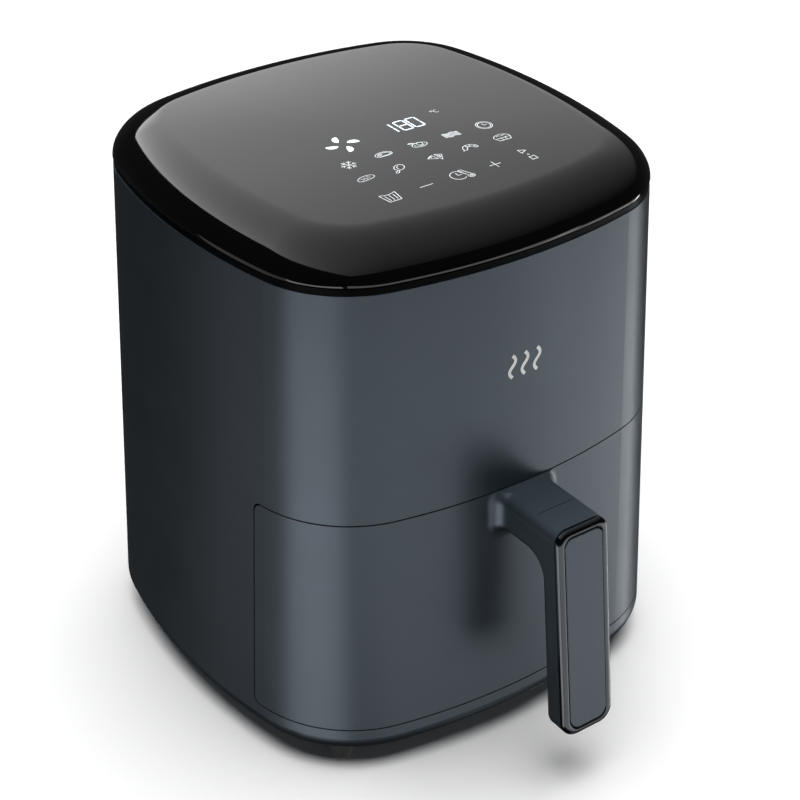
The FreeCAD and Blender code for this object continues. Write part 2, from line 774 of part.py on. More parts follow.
def make_motor_bracket():
    """The plate that carries the motor over the opening in the deck."""
    low, high = stator_z - 4.0, stator_z - 1.5
    plate = rounded_block(58, 22, 5.0, low, high, axis_y)
    plate = plate.cut(cylinder(0, axis_y, low - 1, high + 1, 7.5))
    coil_room = box(-18, axis_y + 16.0, low - 1, 18, axis_y + 30, high + 1)
    legs = [
        cylinder(sx * 52, axis_y + sy * 14, deck_z + deck_wall, low, 4.0)
        for sx in (-1, 1)
        for sy in (-1, 1)
    ]
    spacers = [
        tube(sx * 27, axis_y - 23 + 2, high, stator_z, 3.4, 1.6)
        for sx in (-1, 1)
    ]
    return fused([plate.cut(coil_room)] + legs + spacers)


def make_motor_yoke():
    """The strap over the motor that holds the upper bearing."""
    low = stator_z + stator_height
    bridge = box(-28, axis_y - 8, low + 3, 28, axis_y + 8, low + 5)
    seat = cylinder(0, axis_y, low + 3, low + 5, 10)
    y0, y1 = axis_y - 8, axis_y + 8
    feet = [box(sx * 28 - 1.0 - sx, y0, low, sx * 28 + 1.0 - sx, y1, low + 5) for sx in (-1, 1)]
    return fused([bridge, seat] + feet).cut(cylinder(0, axis_y, low, low + 9, 7.5))


def make_deck():
    """The shelf over the fan space that carries the motor and the boards."""
    plate = body_block(shell_wall + fit_gap, deck_z, deck_z + deck_wall)
    behind_cover = rear_window(-6.0 - fit_gap)
    inside_wall = body_block(shell_wall + cover_ledge + fit_gap, deck_z - 5, deck_z + 5)
    plate = plate.cut(behind_cover.cut(inside_wall))
    plate = plate.cut(cylinder(0, axis_y, deck_z - 1, deck_z + deck_wall + 1, 44.0))
    posts = [
        cylinder(x, y, deck_z + deck_wall, power_board_z, 3.0)
        for x in (power_board_x0 + 5, power_board_x1 - 5)
        for y in (power_board_y0 + 5, power_board_y1 - 5)
    ]
    return fused([plate] + posts)


def make_fan_shroud():
    """The wall round the cooling fan, open to the rear."""
    low = liner_roof_z + liner_wall + dish_height + 0.3
    ring = tube(0, axis_y, low, deck_z - 0.2, cool_fan_radius + 7.6, cool_fan_radius + 6.0)
    opening = box(-duct_half + 2, axis_y, low - 1, duct_half - 2, axis_y + 80, deck_z + 1)
    return ring.cut(opening)


duct_half = 46.0


def make_exhaust_duct():
    """The channel from the fan space to the louvres."""
    low = liner_roof_z + liner_wall + dish_height + 0.3
    start = axis_y + cool_fan_radius - 4.0
    end = rear_face_y(deck_z) + 5.0
    outer = box(-duct_half, start, low, duct_half, end, deck_z - 0.2)
    inner = box(-duct_half + 1.6, start - 1, low + 1.6, duct_half - 1.6, end + 1, deck_z - 1.8)
    shroud_room = cylinder(0, axis_y, low - 1, deck_z + 1, cool_fan_radius + 7.8)
    inside_shell = body_block(shell_wall + cover_ledge + fit_gap, low - 5, deck_z + 5)
    return outer.cut(inner).cut(shroud_room).common(inside_shell)


# ---------------------------------------------------------------- electrics
power_board_x0 = -(seam_half_width - 15.0)
power_board_x1 = power_board_x0 + 50.0
power_board_y0, power_board_y1 = -52.0, 42.0
power_board_z = deck_z + 10.0


def make_power_board():
    return box(power_board_x0, power_board_y0, power_board_z,
               power_board_x1, power_board_y1, power_board_z + board_thickness)


def make_transformer():
    z = power_board_z + board_thickness
    x = power_board_x0
    core = box(x + 6, -44, z, x + 32, -20, z + 18)
    bobbin = box(x + 10, -47, z + 3, x + 28, -17, z + 15)
    return fused([core, bobbin])


def make_relay():
    z = power_board_z + board_thickness
    x = power_board_x0
    return box(x + 6, -10, z, x + 22, 12, z + 15)


def make_capacitors():
    z = power_board_z + board_thickness
    return group([cylinder(power_board_x1 - 10, y, z, z + 17, 5.0) for y in (-38, -24, -10)])


def make_terminal_block():
    z = power_board_z + board_thickness
    x = power_board_x0
    block = box(x + 4, 22, z, x + 34, 34, z + 13)
    holes = [cylinder(x + 8 + i * 7.4, 28, z + 6, z + 14, 2.2) for i in range(4)]
    return block.cut(group(holes))


def make_thermal_cutout():
    """The button-shaped safety thermostat on top of the reflector."""
    z = liner_roof_z + liner_wall + dish_height
    x, y = -(dish_radius - 16.0), axis_y + 4.0
    cap = cylinder(x, y, z, z + 3, 8.0)
    body = cylinder(x, y, z + 3, z + 10, 6.5)
    return fused([cap, body])


def make_temperature_probe():
    """The rod-shaped sensor that reaches down beside the heater."""
    z = liner_roof_z + liner_wall + dish_height
    rod = cylinder(probe_x, axis_y + probe_y, z - 14, z, probe_radius)
    head = cylinder(probe_x, axis_y + probe_y, z, z + 5, 2 * probe_radius)
    return fused([rod, head])


switch_x = liner_half_x + liner_wall + 6.0
switch_z = drawer_top_z - 15.5
switch_y = drawer_rear_y + bezel_thickness + 1.2
plunger_radius = 1.3
plunger_press = 0.6


def make_door_switch():
    """The micro-switch that tells when the drawer is shut."""
    body = box(switch_x - 3.0, switch_y, switch_z - 9, switch_x + 3.0, switch_y + 11, switch_z + 9)
    well = cylinder_y(switch_x, switch_y - 1, switch_y + 4.5, switch_z, plunger_radius + 0.1)
    return body.cut(well)


def make_switch_plunger():
    front = drawer_rear_y + 1.0 - 0.8
    return cylinder_y(switch_x, front, switch_y + 4.5 - plunger_press - 0.3, switch_z, plunger_radius)


# ---------------------------------------------------------------- drawer
def make_arm_stub():
    """The first stretch of the handle's arm, run back into the drawer front."""
    half = grip_width / 2
    reach = -seam_half_depth + 9.5
    length = reach - root_joint_y
    height = drawer_top_z - drawer_gap - arm_underside_z
    wire = Part.makePolygon([
        Vec(-half, root_joint_y, arm_underside_z), Vec(half, root_joint_y, arm_underside_z),
        Vec(half, root_joint_y, arm_underside_z + height), Vec(-half, root_joint_y, arm_underside_z + height),
        Vec(-half, root_joint_y, arm_underside_z),
    ])
    stub = Part.Face(wire).extrude(Vec(0, length, 0))
    top = arm_underside_z + height
    upper = edges_where(stub, lambda p: abs(p.z - top) < 0.01 and abs(abs(p.x) - half) < 0.01)
    stub = stub.makeFillet(grip_top_round, upper)
    lower = edges_where(stub, lambda p: abs(p.z - arm_underside_z) < 0.01 and abs(abs(p.x) - half) < 0.01)
    return stub.makeFillet(grip_edge_round, lower)


def make_front_skin():
    """The drawer front's outside, still solid, with the flared root of the handle's arm."""
    taller = drawer_top_z + 30
    block = body_block(0.0, drawer_bottom_z - 5, taller)
    block = block.common(box(-200, -200, 0, 200, drawer_rear_y, 300))
    joined = block.fuse(make_arm_stub()).removeSplitter()
    half = grip_width / 2

    def at_root(p):
        near_face = abs(p.y + seam_half_depth + wall_offset(p.z)) < 3.0
        return near_face and abs(p.x) < half + 1.0 and arm_underside_z - 1 < p.z < drawer_top_z + 1

    return joined.makeFillet(root_flare, edges_where(joined, at_root))


def make_drawer_front():
    skin = make_front_skin().common(drawer_window(drawer_gap))
    skin = skin.cut(body_block(front_depth, drawer_bottom_z - 10, drawer_top_z + 10))
    low, high = drawer_bottom_z - 10, drawer_top_z + 10
    hollow = body_block(shell_wall, low, high).cut(body_block(front_depth + 1, low - 1, high + 1))
    hollow = hollow.common(drawer_window(drawer_gap + shell_wall))
    bosses = [
        cylinder_y(s * handle_screw_x, -seam_half_depth - 8, 0, handle_screw_z, screw_boss) for s in (-1, 1)
    ]
    front = skin.cut(hollow.cut(group(bosses)))
    front = front.cut(body_block(inner_cover_inset, low, high).common(drawer_window(cover_margin)))
    return front.cut(group([screw_hole(place) for place in handle_screw_places()]))


cover_margin = drawer_gap + shell_wall - 0.8
inner_cover_inset = front_depth - inner_cover_wall


def make_drawer_inner_cover():
    """The curved plate that closes the hollow drawer front from behind."""
    low, high = drawer_bottom_z - 5, drawer_top_z + 5
    plate = body_block(inner_cover_inset + fit_gap, low, high)
    plate = plate.cut(body_block(front_depth, low - 1, high + 1))
    plate = plate.common(drawer_window(cover_margin + fit_gap))
    return plate.cut(group([screw_hole(place) for place in handle_screw_places()]))


def grip_front_y(z):
    """The plane that the bezel sits on."""
    return grip_top_y - grip_lean * (drawer_top_z - z)


def grip_back_y(z):
    return grip_back_top_y - grip_back_lean * (drawer_top_z - z)


def make_grip_blank():
    """Arm and grip as one solid, before its cap and its bezel seat are cut."""
    half = grip_width / 2
    top = drawer_top_z - drawer_gap
    side = side_profile([
        (root_joint_y, arm_underside_z), (root_joint_y, top), (grip_front_y(top), top),
        (grip_front_y(grip_bottom_z), grip_bottom_z), (grip_back_y(grip_bottom_z), grip_bottom_z),
        (grip_back_y(arm_underside_z), arm_underside_z),
    ], half)
    inner_corner = edges_where(
        side, lambda p: abs(p.z - arm_underside_z) < 0.01 and abs(p.y - grip_back_y(arm_underside_z)) < 0.01)
    side = side.makeFillet(arm_inner_round, inner_corner)
    heel = edges_where(
        side, lambda p: abs(p.z - grip_bottom_z) < 0.01 and abs(p.y - grip_back_y(grip_bottom_z)) < 0.01)
    side = side.makeFillet(grip_heel_round, heel)
    blank = side.common(front_outline(0.0))

    def behind(p):
        on_side = abs(abs(p.x) - half) < 0.01
        slack = 0.6
        back = p.y > grip_front_y(p.z) + 2.0
        under = p.z < arm_underside_z + slack
        return on_side and back and under

    return blank.makeFillet(grip_edge_round, edges_where(blank, behind))


def front_outline(inset):
    """The grip's outline seen from the front, pulled along Y; the corners are rounded."""
    y_from, y_to = root_joint_y + 10, grip_top_y - 60
    half = grip_width / 2 - inset
    low, high = grip_bottom_z + inset, drawer_top_z - drawer_gap - inset
    block = box(-half, y_to, low, half, y_from, high)
    upper = edges_where(block, lambda p: abs(p.z - high) < 0.01 and abs(abs(p.x) - half) < 0.01)
    block = block.makeFillet(grip_top_round - inset * 0.6, upper)
    lower = edges_where(block, lambda p: abs(p.z - low) < 0.01 and abs(abs(p.x) - half) < 0.01)
    return block.makeFillet(grip_bottom_round - inset * 0.6, lower)


def slanted_slab(front_from, front_to):
    """The space between two planes parallel to the grip's front, as distances out from it."""
    reach = 60.0
    low, high = grip_bottom_z - 20, drawer_top_z + 20
    return side_profile([
        (grip_front_y(low) - front_from, low), (grip_front_y(high) - front_from, high),
        (grip_front_y(high) - front_to, high), (grip_front_y(low) - front_to, low),
    ], reach)


def cap_block(gap):
    """The slice off the arm's top that the cap fills."""
    top = drawer_top_z - drawer_gap
    low = top - cap_thickness + gap
    return box(-cap_half_width, cap_front_y + gap, low, cap_half_width, root_joint_y, top + 5)


def make_handle_grip():
    blank = make_grip_blank()
    recess = front_outline(bezel_inner_margin).common(slanted_slab(-3.0, 1.0))
    holes = group([screw_hole(place) for place in handle_screw_places()])
    return blank.cut(cap_block(0.0)).cut(recess).cut(holes)


def make_handle_cap():
    return make_grip_blank().common(cap_block(cap_gap))


def make_handle_bezel():
    """The glossy frame round the front of the grip, with a sloped face."""
    ring = front_outline(0.0).common(slanted_slab(0.0, bezel_depth))
    front_edges = edges_where(
        ring, lambda p: abs(p.y - grip_front_y(p.z) + bezel_depth) < 0.15)
    ring = ring.makeChamfer(2.2, front_edges)
    hole = front_outline(bezel_inner_margin).common(slanted_slab(-5.0, bezel_depth + 5))
    return ring.cut(hole)


def make_handle_insert():
    """The flat panel inside the bezel."""
    panel = front_outline(bezel_inner_margin + insert_gap)
    panel = panel.common(slanted_slab(-2.6, bezel_depth - 0.1))
    front_edges = edges_where(
        panel, lambda p: abs(p.y - grip_front_y(p.z) + bezel_depth - 0.1) < 0.15)
    return panel.makeFillet(0.5, front_edges)


bracket_thickness = 2.0
bracket_half = 22.0
bracket_low_z = bowl_rim_z - 27.0
bracket_high_z = bowl_rim_z - 3.5
bracket_front_y = -seam_half_depth + 5.6     # just behind the inner cover
screw_boss = 4.6
handle_screw_x = 9.0
handle_screw_z = drawer_top_z - 17.0


def handle_screw_places():
    y = bracket_front_y + bracket_thickness
    length = y - root_joint_y + 9.0
    heads = [Vec(s * handle_screw_x, y, handle_screw_z) for s in (-1, 1)]
    return [(head, Vec(0, -1, 0), 3.4, 1.6, 2.0, length) for head in heads]


def make_handle_bracket():
    """The steel strap that ties the handle and the drawer front to the bowl."""
    front, rear = bracket_front_y, bowl_center_y - bowl_half_y - 0.4
    plate = box(-bracket_half, front, bracket_low_z, bracket_half, front + bracket_thickness, bracket_high_z)
    shelf = box(-bracket_half, front, bracket_high_z - bracket_thickness, bracket_half, rear, bracket_high_z)
    hook_front = rear - bracket_thickness
    hook = box(-bracket_half, hook_front, bracket_high_z - 12, bracket_half, rear, bracket_high_z)
    hook_top = bracket_high_z - bracket_thickness
    hook = hook.cut(box(-14, rear - 5, bracket_high_z - 13, 14, rear + 1, hook_top))
    shelf = shelf.cut(box(-14, front + 4, bracket_high_z - 5, 14, rear - 4, bracket_high_z + 1))
    return fused([plate, shelf, hook]).cut(group([screw_hole(place) for place in handle_screw_places()]))


def make_handle_screws():
    """Screws through the bracket and the drawer front into the arm."""
    return group([screw(*place) for place in handle_screw_places()])


def bowl_solid(inset, z0):
    """The bowl's outside, or with an inset its inside."""
    height = bowl_rim_z - bowl_bottom_z
    narrower = bowl_taper * (1 - (z0 - bowl_bottom_z) / height) + inset
    sections = [
        (bowl_half_x - narrower, bowl_half_y - narrower, bowl_corner - narrower, z0),
        (bowl_half_x - inset, bowl_half_y - inset, bowl_corner - inset, bowl_rim_z),
    ]
    block = rounded_loft(sections, bowl_center_y)
    low_edges = edges_where(block, lambda p: abs(p.z - z0) < 0.01)
    return block.makeFillet(bowl_floor_round - inset, low_edges)


def make_bowl():
    outer = bowl_solid(0.0, bowl_bottom_z)
    rim = rounded_block(bowl_half_x + rim_width, bowl_half_y + rim_width, bowl_corner + rim_width,
                        bowl_rim_z - rim_thickness, bowl_rim_z, bowl_center_y)
    return fused([outer, rim]).cut(bowl_solid(bowl_wall, bowl_bottom_z + bowl_wall))


tray_low_z = bowl_bottom_z + bowl_wall + tray_stand
tray_taper = bowl_taper * (1 - (tray_low_z - bowl_bottom_z) / (bowl_rim_z - bowl_bottom_z))
tray_half_x = bowl_half_x - tray_taper - bowl_wall - tray_edge_gap
tray_half_y = bowl_half_y - tray_taper - bowl_wall - tray_edge_gap
tray_corner = bowl_corner - bowl_taper - bowl_wall - tray_edge_gap
tray_skirt = 4.0
tray_hole_margin = 12.0


def make_crisper_tray():
    """A perforated plate with a turned-down edge and a finger hole."""
    low = tray_low_z
    half_x, half_y, corner = tray_half_x, tray_half_y, tray_corner
    plate = rounded_block(half_x, half_y, corner, low, low + tray_thickness, bowl_center_y)
    skirt_outer = rounded_block(half_x, half_y, corner, low - tray_skirt, low, bowl_center_y)
    skirt_inner = rounded_block(half_x - 1.5, half_y - 1.5, corner - 1.5, low - 5, low + 0.5, bowl_center_y)
    tray = fused([plate, skirt_outer.cut(skirt_inner)])
    holes = []
    columns = int((half_x - tray_hole_margin) / tray_hole_pitch)
    rows = int((half_y - tray_hole_margin) / tray_hole_pitch)
    for i in range(-columns, columns + 1):
        for j in range(-rows, rows + 1):
            x, y = i * tray_hole_pitch, j * tray_hole_pitch
            from_corner = math.hypot(max(abs(x) - half_x + corner, 0), max(abs(y) - half_y + corner, 0))
            clear_of_grip_hole = math.hypot(x, y) > 17
            if from_corner < corner - tray_hole_margin and clear_of_grip_hole:
                top = low + tray_thickness
                holes.append(cylinder(x, bowl_center_y + y, low - 1, top + 1, tray_hole_radius))
    holes.append(cylinder(0, bowl_center_y, low - 1, low + tray_thickness + 1, 10.0))
    return tray.cut(group(holes))


bumper_radius = 7.0
bumper_inset = 32.0


def make_tray_bumpers():
    """Four silicone feet under the tray, near its corners."""
    floor = bowl_bottom_z + bowl_wall + 0.1
    bumpers = []
    for side_x in (-1, 1):
        for side_y in (-1, 1):
            x = side_x * (tray_half_x - bumper_inset)
            y = bowl_center_y + side_y * (tray_half_y - bumper_inset)
            foot = cylinder(x, y, floor, tray_low_z, bumper_radius)
            rim = [e for e in foot.Edges if e.Closed and abs(e.CenterOfMass.z - floor) < 0.01]
            bumpers.append(foot.makeFillet(2.0, rim))
    return group(bumpers)


def make_base_screws():
    """Screws up through the base plate."""
    return group([screw(*place) for place in base_screw_places()])


# ---------------------------------------------------------------- all pieces
def make_all():
    """Every node's name and shape."""
    nodes = {
        "outer_shell": make_outer_shell(),
        "base_plate": make_base_plate(),
        "rear_cover": make_rear_cover(),
        "cord_gland": make_cord_gland(),
        "rear_cover_screws": make_cover_screws(),
        "lid_ring": make_lid_ring(),
        "lid": make_lid(),
        "lid_frame": make_lid_frame(),
        "touch_board": make_touch_board(),
        "light_guide": make_light_guide(),
        "key_pads": make_key_pads(),
        "display_module": make_display_module(),
        "chamber_liner": make_chamber_liner(),
        "chamber_bezel": make_chamber_bezel(),
        "drawer_ceiling": make_drawer_ceiling(),
        "heat_reflector": make_heat_reflector(),
        "heating_element": make_heating_element(),
        "element_clips": make_element_clips(),
        "heater_guard": make_heater_guard(),
        "convection_fan": make_convection_fan(),
        "cooling_fan": make_cooling_fan(),
        "motor_shaft": make_motor_shaft(),
        "fan_nut": make_fan_nut(),
        "rotor_core": make_rotor_core(),
        "motor_stator": make_motor_stator(),
        "motor_coil": make_motor_coil(),
        "lower_bearing": make_bearing(stator_z - 4.0, stator_z - 0.2),
        "upper_bearing": make_bearing(stator_z + stator_height + 1.0, stator_z + stator_height + 5.0),
        "motor_bracket": make_motor_bracket(),
        "motor_yoke": make_motor_yoke(),
        "deck": make_deck(),
        "fan_shroud": make_fan_shroud(),
        "exhaust_duct": make_exhaust_duct(),
        "power_board": make_power_board(),
        "transformer": make_transformer(),
        "relay": make_relay(),
        "capacitors": make_capacitors(),
        "terminal_block": make_terminal_block(),
        "thermal_cutout": make_thermal_cutout(),
        "temperature_probe": make_temperature_probe(),
        "door_switch": make_door_switch(),
        "switch_plunger": make_switch_plunger(),
        "drawer_front": make_drawer_front(),
        "drawer_inner_cover": make_drawer_inner_cover(),
        "handle_grip": make_handle_grip(),
        "handle_cap": make_handle_cap(),
        "handle_bezel": make_handle_bezel(),
        "handle_insert": make_handle_insert(),
        "handle_bracket": make_handle_bracket(),
        "handle_screws": make_handle_screws(),
        "bowl": make_bowl(),
        "crisper_tray": make_crisper_tray(),
        "tray_bumpers": make_tray_bumpers(),
        "base_screws": make_base_screws(),
    }
    for side, side_name in ((-1, "left"), (1, "right")):
        nodes["slide_rail_" + side_name] = make_slide_rail(side)
        for end, end_name in ((-1, "front"), (1, "rear")):
            nodes["foot_" + end_name + "_" + side_name] = make_foot(side, end)
    return nodes


def main():
    os.makedirs("parts", exist_ok=True)
    for name, shape in make_all().items():
        solids = shape.Solids
        print(name, "solids", len(solids), "valid", shape.isValid(), "volume", round(shape.Volume / 1000, 2))
        shape.exportStep("parts/" + name + ".step")


main()
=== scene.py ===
"""Looks of a countertop air fryer: satin slate body, polished black lid with a lit touch panel, bar handle.

Lengths below are in millimetres unless a name says otherwise; MM turns them into the frame's metres.
"""
import json
import math

import bpy
import numpy as np
from mathutils import Matrix, Vector


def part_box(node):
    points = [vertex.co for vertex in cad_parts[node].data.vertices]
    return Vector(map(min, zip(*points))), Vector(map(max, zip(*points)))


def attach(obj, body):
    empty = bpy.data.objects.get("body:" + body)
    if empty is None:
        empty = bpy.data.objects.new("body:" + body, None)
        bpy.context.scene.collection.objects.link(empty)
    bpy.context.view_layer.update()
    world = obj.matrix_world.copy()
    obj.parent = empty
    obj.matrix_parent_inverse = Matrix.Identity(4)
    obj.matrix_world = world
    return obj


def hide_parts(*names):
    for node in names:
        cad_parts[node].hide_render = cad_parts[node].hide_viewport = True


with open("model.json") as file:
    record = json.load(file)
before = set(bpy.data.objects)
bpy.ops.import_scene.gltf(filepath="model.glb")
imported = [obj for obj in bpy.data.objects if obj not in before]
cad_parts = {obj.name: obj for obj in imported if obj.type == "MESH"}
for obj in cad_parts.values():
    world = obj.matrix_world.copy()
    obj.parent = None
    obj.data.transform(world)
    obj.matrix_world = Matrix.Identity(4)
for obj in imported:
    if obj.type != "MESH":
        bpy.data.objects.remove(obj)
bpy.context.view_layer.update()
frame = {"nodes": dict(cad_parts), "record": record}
MM = 0.001

# ---------------------------------------------------------------- sizes shared with the frame
shell_top_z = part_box("outer_shell")[1].z / MM
lid_low, lid_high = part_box("lid")
ring_height = 4.0
lid_base_z = shell_top_z + ring_height
lid_half_width = (lid_high.x - lid_low.x) / 2 / MM
lid_half_depth = lid_half_width + 0.5
front_arc, side_arc, corner_arc = 328.0, 355.0, 59.5
lid_roll_width, lid_roll_height, lid_roll_power = 27.5, 20.0, 1.84
lid_crown, lid_crown_power = 3.0, 3.2
lid_wall = 2.6
lid_edge_radius = 0.8
wall_draft = 0.042
legend_lift = 0.05
mark_lift = 0.06
stroke_width = 0.35


# ---------------------------------------------------------------- meshes from arrays
def mesh_piece(name, points, faces, body, material, smooth=True):
    """One piece from points in millimetres and faces by index, riding on a body."""
    mesh = bpy.data.meshes.new(name)
    mesh.from_pydata((np.asarray(points, float) * MM).tolist(), [], [list(map(int, f)) for f in faces])
    mesh.polygons.foreach_set("use_smooth", np.full(len(mesh.polygons), smooth))
    mesh.update()
    piece = bpy.data.objects.new(name, mesh)
    bpy.context.scene.collection.objects.link(piece)
    piece.data.materials.append(material)
    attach(piece, body)
    return piece


def grid_faces(rows, columns, wrap_columns=False, wrap_rows=False, first=0):
    """Quads of a grid of points stored row by row, as one array of four indices each."""
    r = np.arange(rows if wrap_rows else rows - 1)
    c = np.arange(columns if wrap_columns else columns - 1)
    r, c = np.meshgrid(r, c, indexing="ij")
    r2, c2 = (r + 1) % rows, (c + 1) % columns
    quads = np.stack([r * columns + c, r * columns + c2, r2 * columns + c2, r2 * columns + c], axis=-1)
    return quads.reshape(-1, 4) + first


def fan_faces(center, ring, flip=False):
    """Triangles from one point to a closed ring of points."""
    ring = np.asarray(ring)
    after = np.roll(ring, -1)
    pairs = (after, ring) if flip else (ring, after)
    return np.stack([np.full(len(ring), center), *pairs], axis=-1)


# ---------------------------------------------------------------- the body's plan outline
def corner_center(a, b):
    """Middle of the corner arc that touches both the side arc and the front arc."""
    front, side = np.array([0.0, b - front_arc]), np.array([a - side_arc, 0.0])
    r1, r2 = front_arc - corner_arc, side_arc - corner_arc
    d = np.linalg.norm(side - front)
    along = (r1 * r1 - r2 * r2 + d * d) / (2 * d)
    across = math.sqrt(r1 * r1 - along * along)
    u = (side - front) / d
    return front + u * along + np.array([u[1], -u[0]]) * across


def outline_arcs(side_steps, corner_steps):
    """Normal angle, arc middle and arc radius for points round the outline.

    The outline is eight arcs. A point with outward normal angle t lies at middle + radius (cos t, sin t),
    and moving the outline inwards only shortens every radius.
    """
    a, b = lid_half_width, lid_half_depth
    cx, cy = corner_center(a, b)
    side_end = math.atan2(cy, cx - (a - side_arc))
    front_start = math.atan2(cy - (b - front_arc), cx)
    full = math.pi
    spans = [
        (-side_end, side_end, a - side_arc, 0.0, side_arc, side_steps),
        (side_end, front_start, cx, cy, corner_arc, corner_steps),
        (front_start, full - front_start, 0.0, b - front_arc, front_arc, side_steps),
        (full - front_start, full - side_end, -cx, cy, corner_arc, corner_steps),
        (full - side_end, full + side_end, side_arc - a, 0.0, side_arc, side_steps),
        (full + side_end, full + front_start, -cx, -cy, corner_arc, corner_steps),
        (full + front_start, 2 * full - front_start, 0.0, front_arc - b, front_arc, side_steps),
        (-front_start, -side_end, cx, -cy, corner_arc, corner_steps),
    ]
    angle, middle, radius = [], [], []
    for start, end, x, y, r, steps in spans:
        angle.append(np.linspace(start, end, steps, endpoint=False))
        middle.append(np.tile([x, y], (steps, 1)))
        radius.append(np.full(steps, r))
    return np.concatenate(angle), np.concatenate(middle), np.concatenate(radius)


def outline_points(arcs, inset):
    """The outline moved inwards by inset; inset may be a column of values, one per row."""
    angle, middle, radius = arcs
    reach = radius - np.asarray(inset, float)[..., None]
    normal = np.stack([np.cos(angle), np.sin(angle)], axis=-1)
    return middle + reach[..., None] * normal


def crown_at(x, y):
    """The lid's gentle doming: highest in the middle, falling to nothing at the edge."""
    u, v = np.abs(x) / lid_half_width, np.abs(y) / lid_half_depth
    out = (u ** lid_crown_power + v ** lid_crown_power) ** (1 / lid_crown_power)
    return lid_crown * (1 - np.minimum(out, 1.0) ** 2)


def lid_top_at(x, y):
    """Height of the lid's flat part over a point."""
    return lid_base_z + lid_roll_height + crown_at(x, y)


# ---------------------------------------------------------------- node groups shared by the materials
def new_group(name, inputs, outputs):
    """An empty shader group; inputs are (name, default), outputs are (name, socket type)."""
    group = bpy.data.node_groups.new(name, "ShaderNodeTree")
    for label, default in inputs:
        socket = group.interface.new_socket(label, in_out="INPUT", socket_type="NodeSocketFloat")
        socket.default_value = default
    for label, kind in outputs:
        group.interface.new_socket(label, in_out="OUTPUT", socket_type=kind)
    return group


class Nodes:
    """Short calls for adding and joining nodes in one tree."""

    def __init__(self, tree):
        self.tree = tree

    def add(self, kind, inputs=None, **settings):
        node = self.tree.nodes.new(kind)
        for key, value in settings.items():
            setattr(node, key, value)
        for key, value in (inputs or {}).items():
            self.put(node, key, value)
        return node

    def put(self, node, key, value):
        socket = node.inputs[key]
        if isinstance(value, bpy.types.NodeSocket):
            self.tree.links.new(value, socket)
        else:
            socket.default_value = value

    def math(self, operation, a, b=0.0, clamp=False):
        return self.add("ShaderNodeMath", {0: a, 1: b}, operation=operation, use_clamp=clamp).outputs[0]

    def noise(self, where, scale, detail=2.0, roughness=0.5, distortion=0.0):
        settings = {"Vector": where, "Scale": scale, "Detail": detail, "Roughness": roughness,
                    "Distortion": distortion}
        return self.add("ShaderNodeTexNoise", settings).outputs["Fac"]

    def spread(self, value, low, high, from_low=0.0, from_high=1.0):
        """A value between from_low and from_high moved to between low and high."""
        settings = {"Value": value, "From Min": from_low, "From Max": from_high,
                    "To Min": low, "To Max": high}
        return self.add("ShaderNodeMapRange", settings).outputs["Result"]

    def mix(self, share, a, b):
        node = self.add("ShaderNodeMix", data_type="RGBA")
        self.put(node, 0, share)
        self.put(node, 6, a)
        self.put(node, 7, b)
        return node.outputs[2]


def grain_group():
    """Moulded or sprayed grain: a fine noise gives a normal, and the fine and a slow noise together vary the
    gloss.
    """
    group = new_group(
        "surface_grain",
        [("Grain per m", 2000.0), ("Depth mm", 0.01), ("Gloss", 0.4), ("Gloss spread", 0.04)],
        [("Normal", "NodeSocketVector"), ("Roughness", "NodeSocketFloat"), ("Mask", "NodeSocketFloat")])
    n = Nodes(group)
    given = n.add("NodeGroupInput").outputs
    place = n.add("ShaderNodeTexCoord").outputs["Object"]
    fine = n.noise(place, given["Grain per m"], detail=3.0, roughness=0.6)
    cloudy = n.noise(place, 26.0, detail=3.0, roughness=0.55, distortion=0.4)
    metres = n.math("MULTIPLY", given["Depth mm"], MM)
    bump = n.add("ShaderNodeBump", {"Height": fine, "Distance": metres})
    low = n.math("SUBTRACT", given["Gloss"], given["Gloss spread"])
    high = n.math("ADD", given["Gloss"], given["Gloss spread"])
    gloss = n.spread(n.math("ADD", n.math("MULTIPLY", fine, 0.35), n.math("MULTIPLY", cloudy, 0.65)),
                     low, high, 0.3, 0.7)
    n.add("NodeGroupOutput", {"Normal": bump.outputs["Normal"], "Roughness": gloss, "Mask": cloudy})
    return group


def dust_group():
    """A faint film of dust that settles on faces that look up, and handling marks all over."""
    group = new_group(
        "settled_film",
        [("Amount", 0.3), ("Marks", 0.3)],
        [("Dust", "NodeSocketFloat"), ("Smudge", "NodeSocketFloat")])
    n = Nodes(group)
    given = n.add("NodeGroupInput").outputs
    place = n.add("ShaderNodeTexCoord").outputs["Object"]
    facing = n.add("ShaderNodeSeparateXYZ", {"Vector": n.add("ShaderNodeNewGeometry").outputs["Normal"]})
    upward = n.spread(facing.outputs["Z"], 0.0, 1.0, 0.2, 1.0)
    specks = n.spread(n.noise(place, 900.0, detail=2.0), 0.0, 1.0, 0.62, 0.78)
    patches = n.spread(n.noise(place, 14.0, detail=4.0), 0.2, 1.0, 0.35, 0.7)
    settled = n.math("MULTIPLY", n.math("MULTIPLY", specks, patches), upward)
    dust = n.math("MULTIPLY", settled, given["Amount"])
    stretched = n.add("ShaderNodeMapping", {"Vector": place, "Scale": (1.0, 2.2, 1.0)}).outputs["Vector"]
    smear = n.spread(n.noise(stretched, 38.0, detail=5.0, roughness=0.65, distortion=1.2), 0.0, 1.0, 0.5, 0.8)
    n.add("NodeGroupOutput", {"Dust": dust, "Smudge": n.math("MULTIPLY", smear, given["Marks"])})
    return group


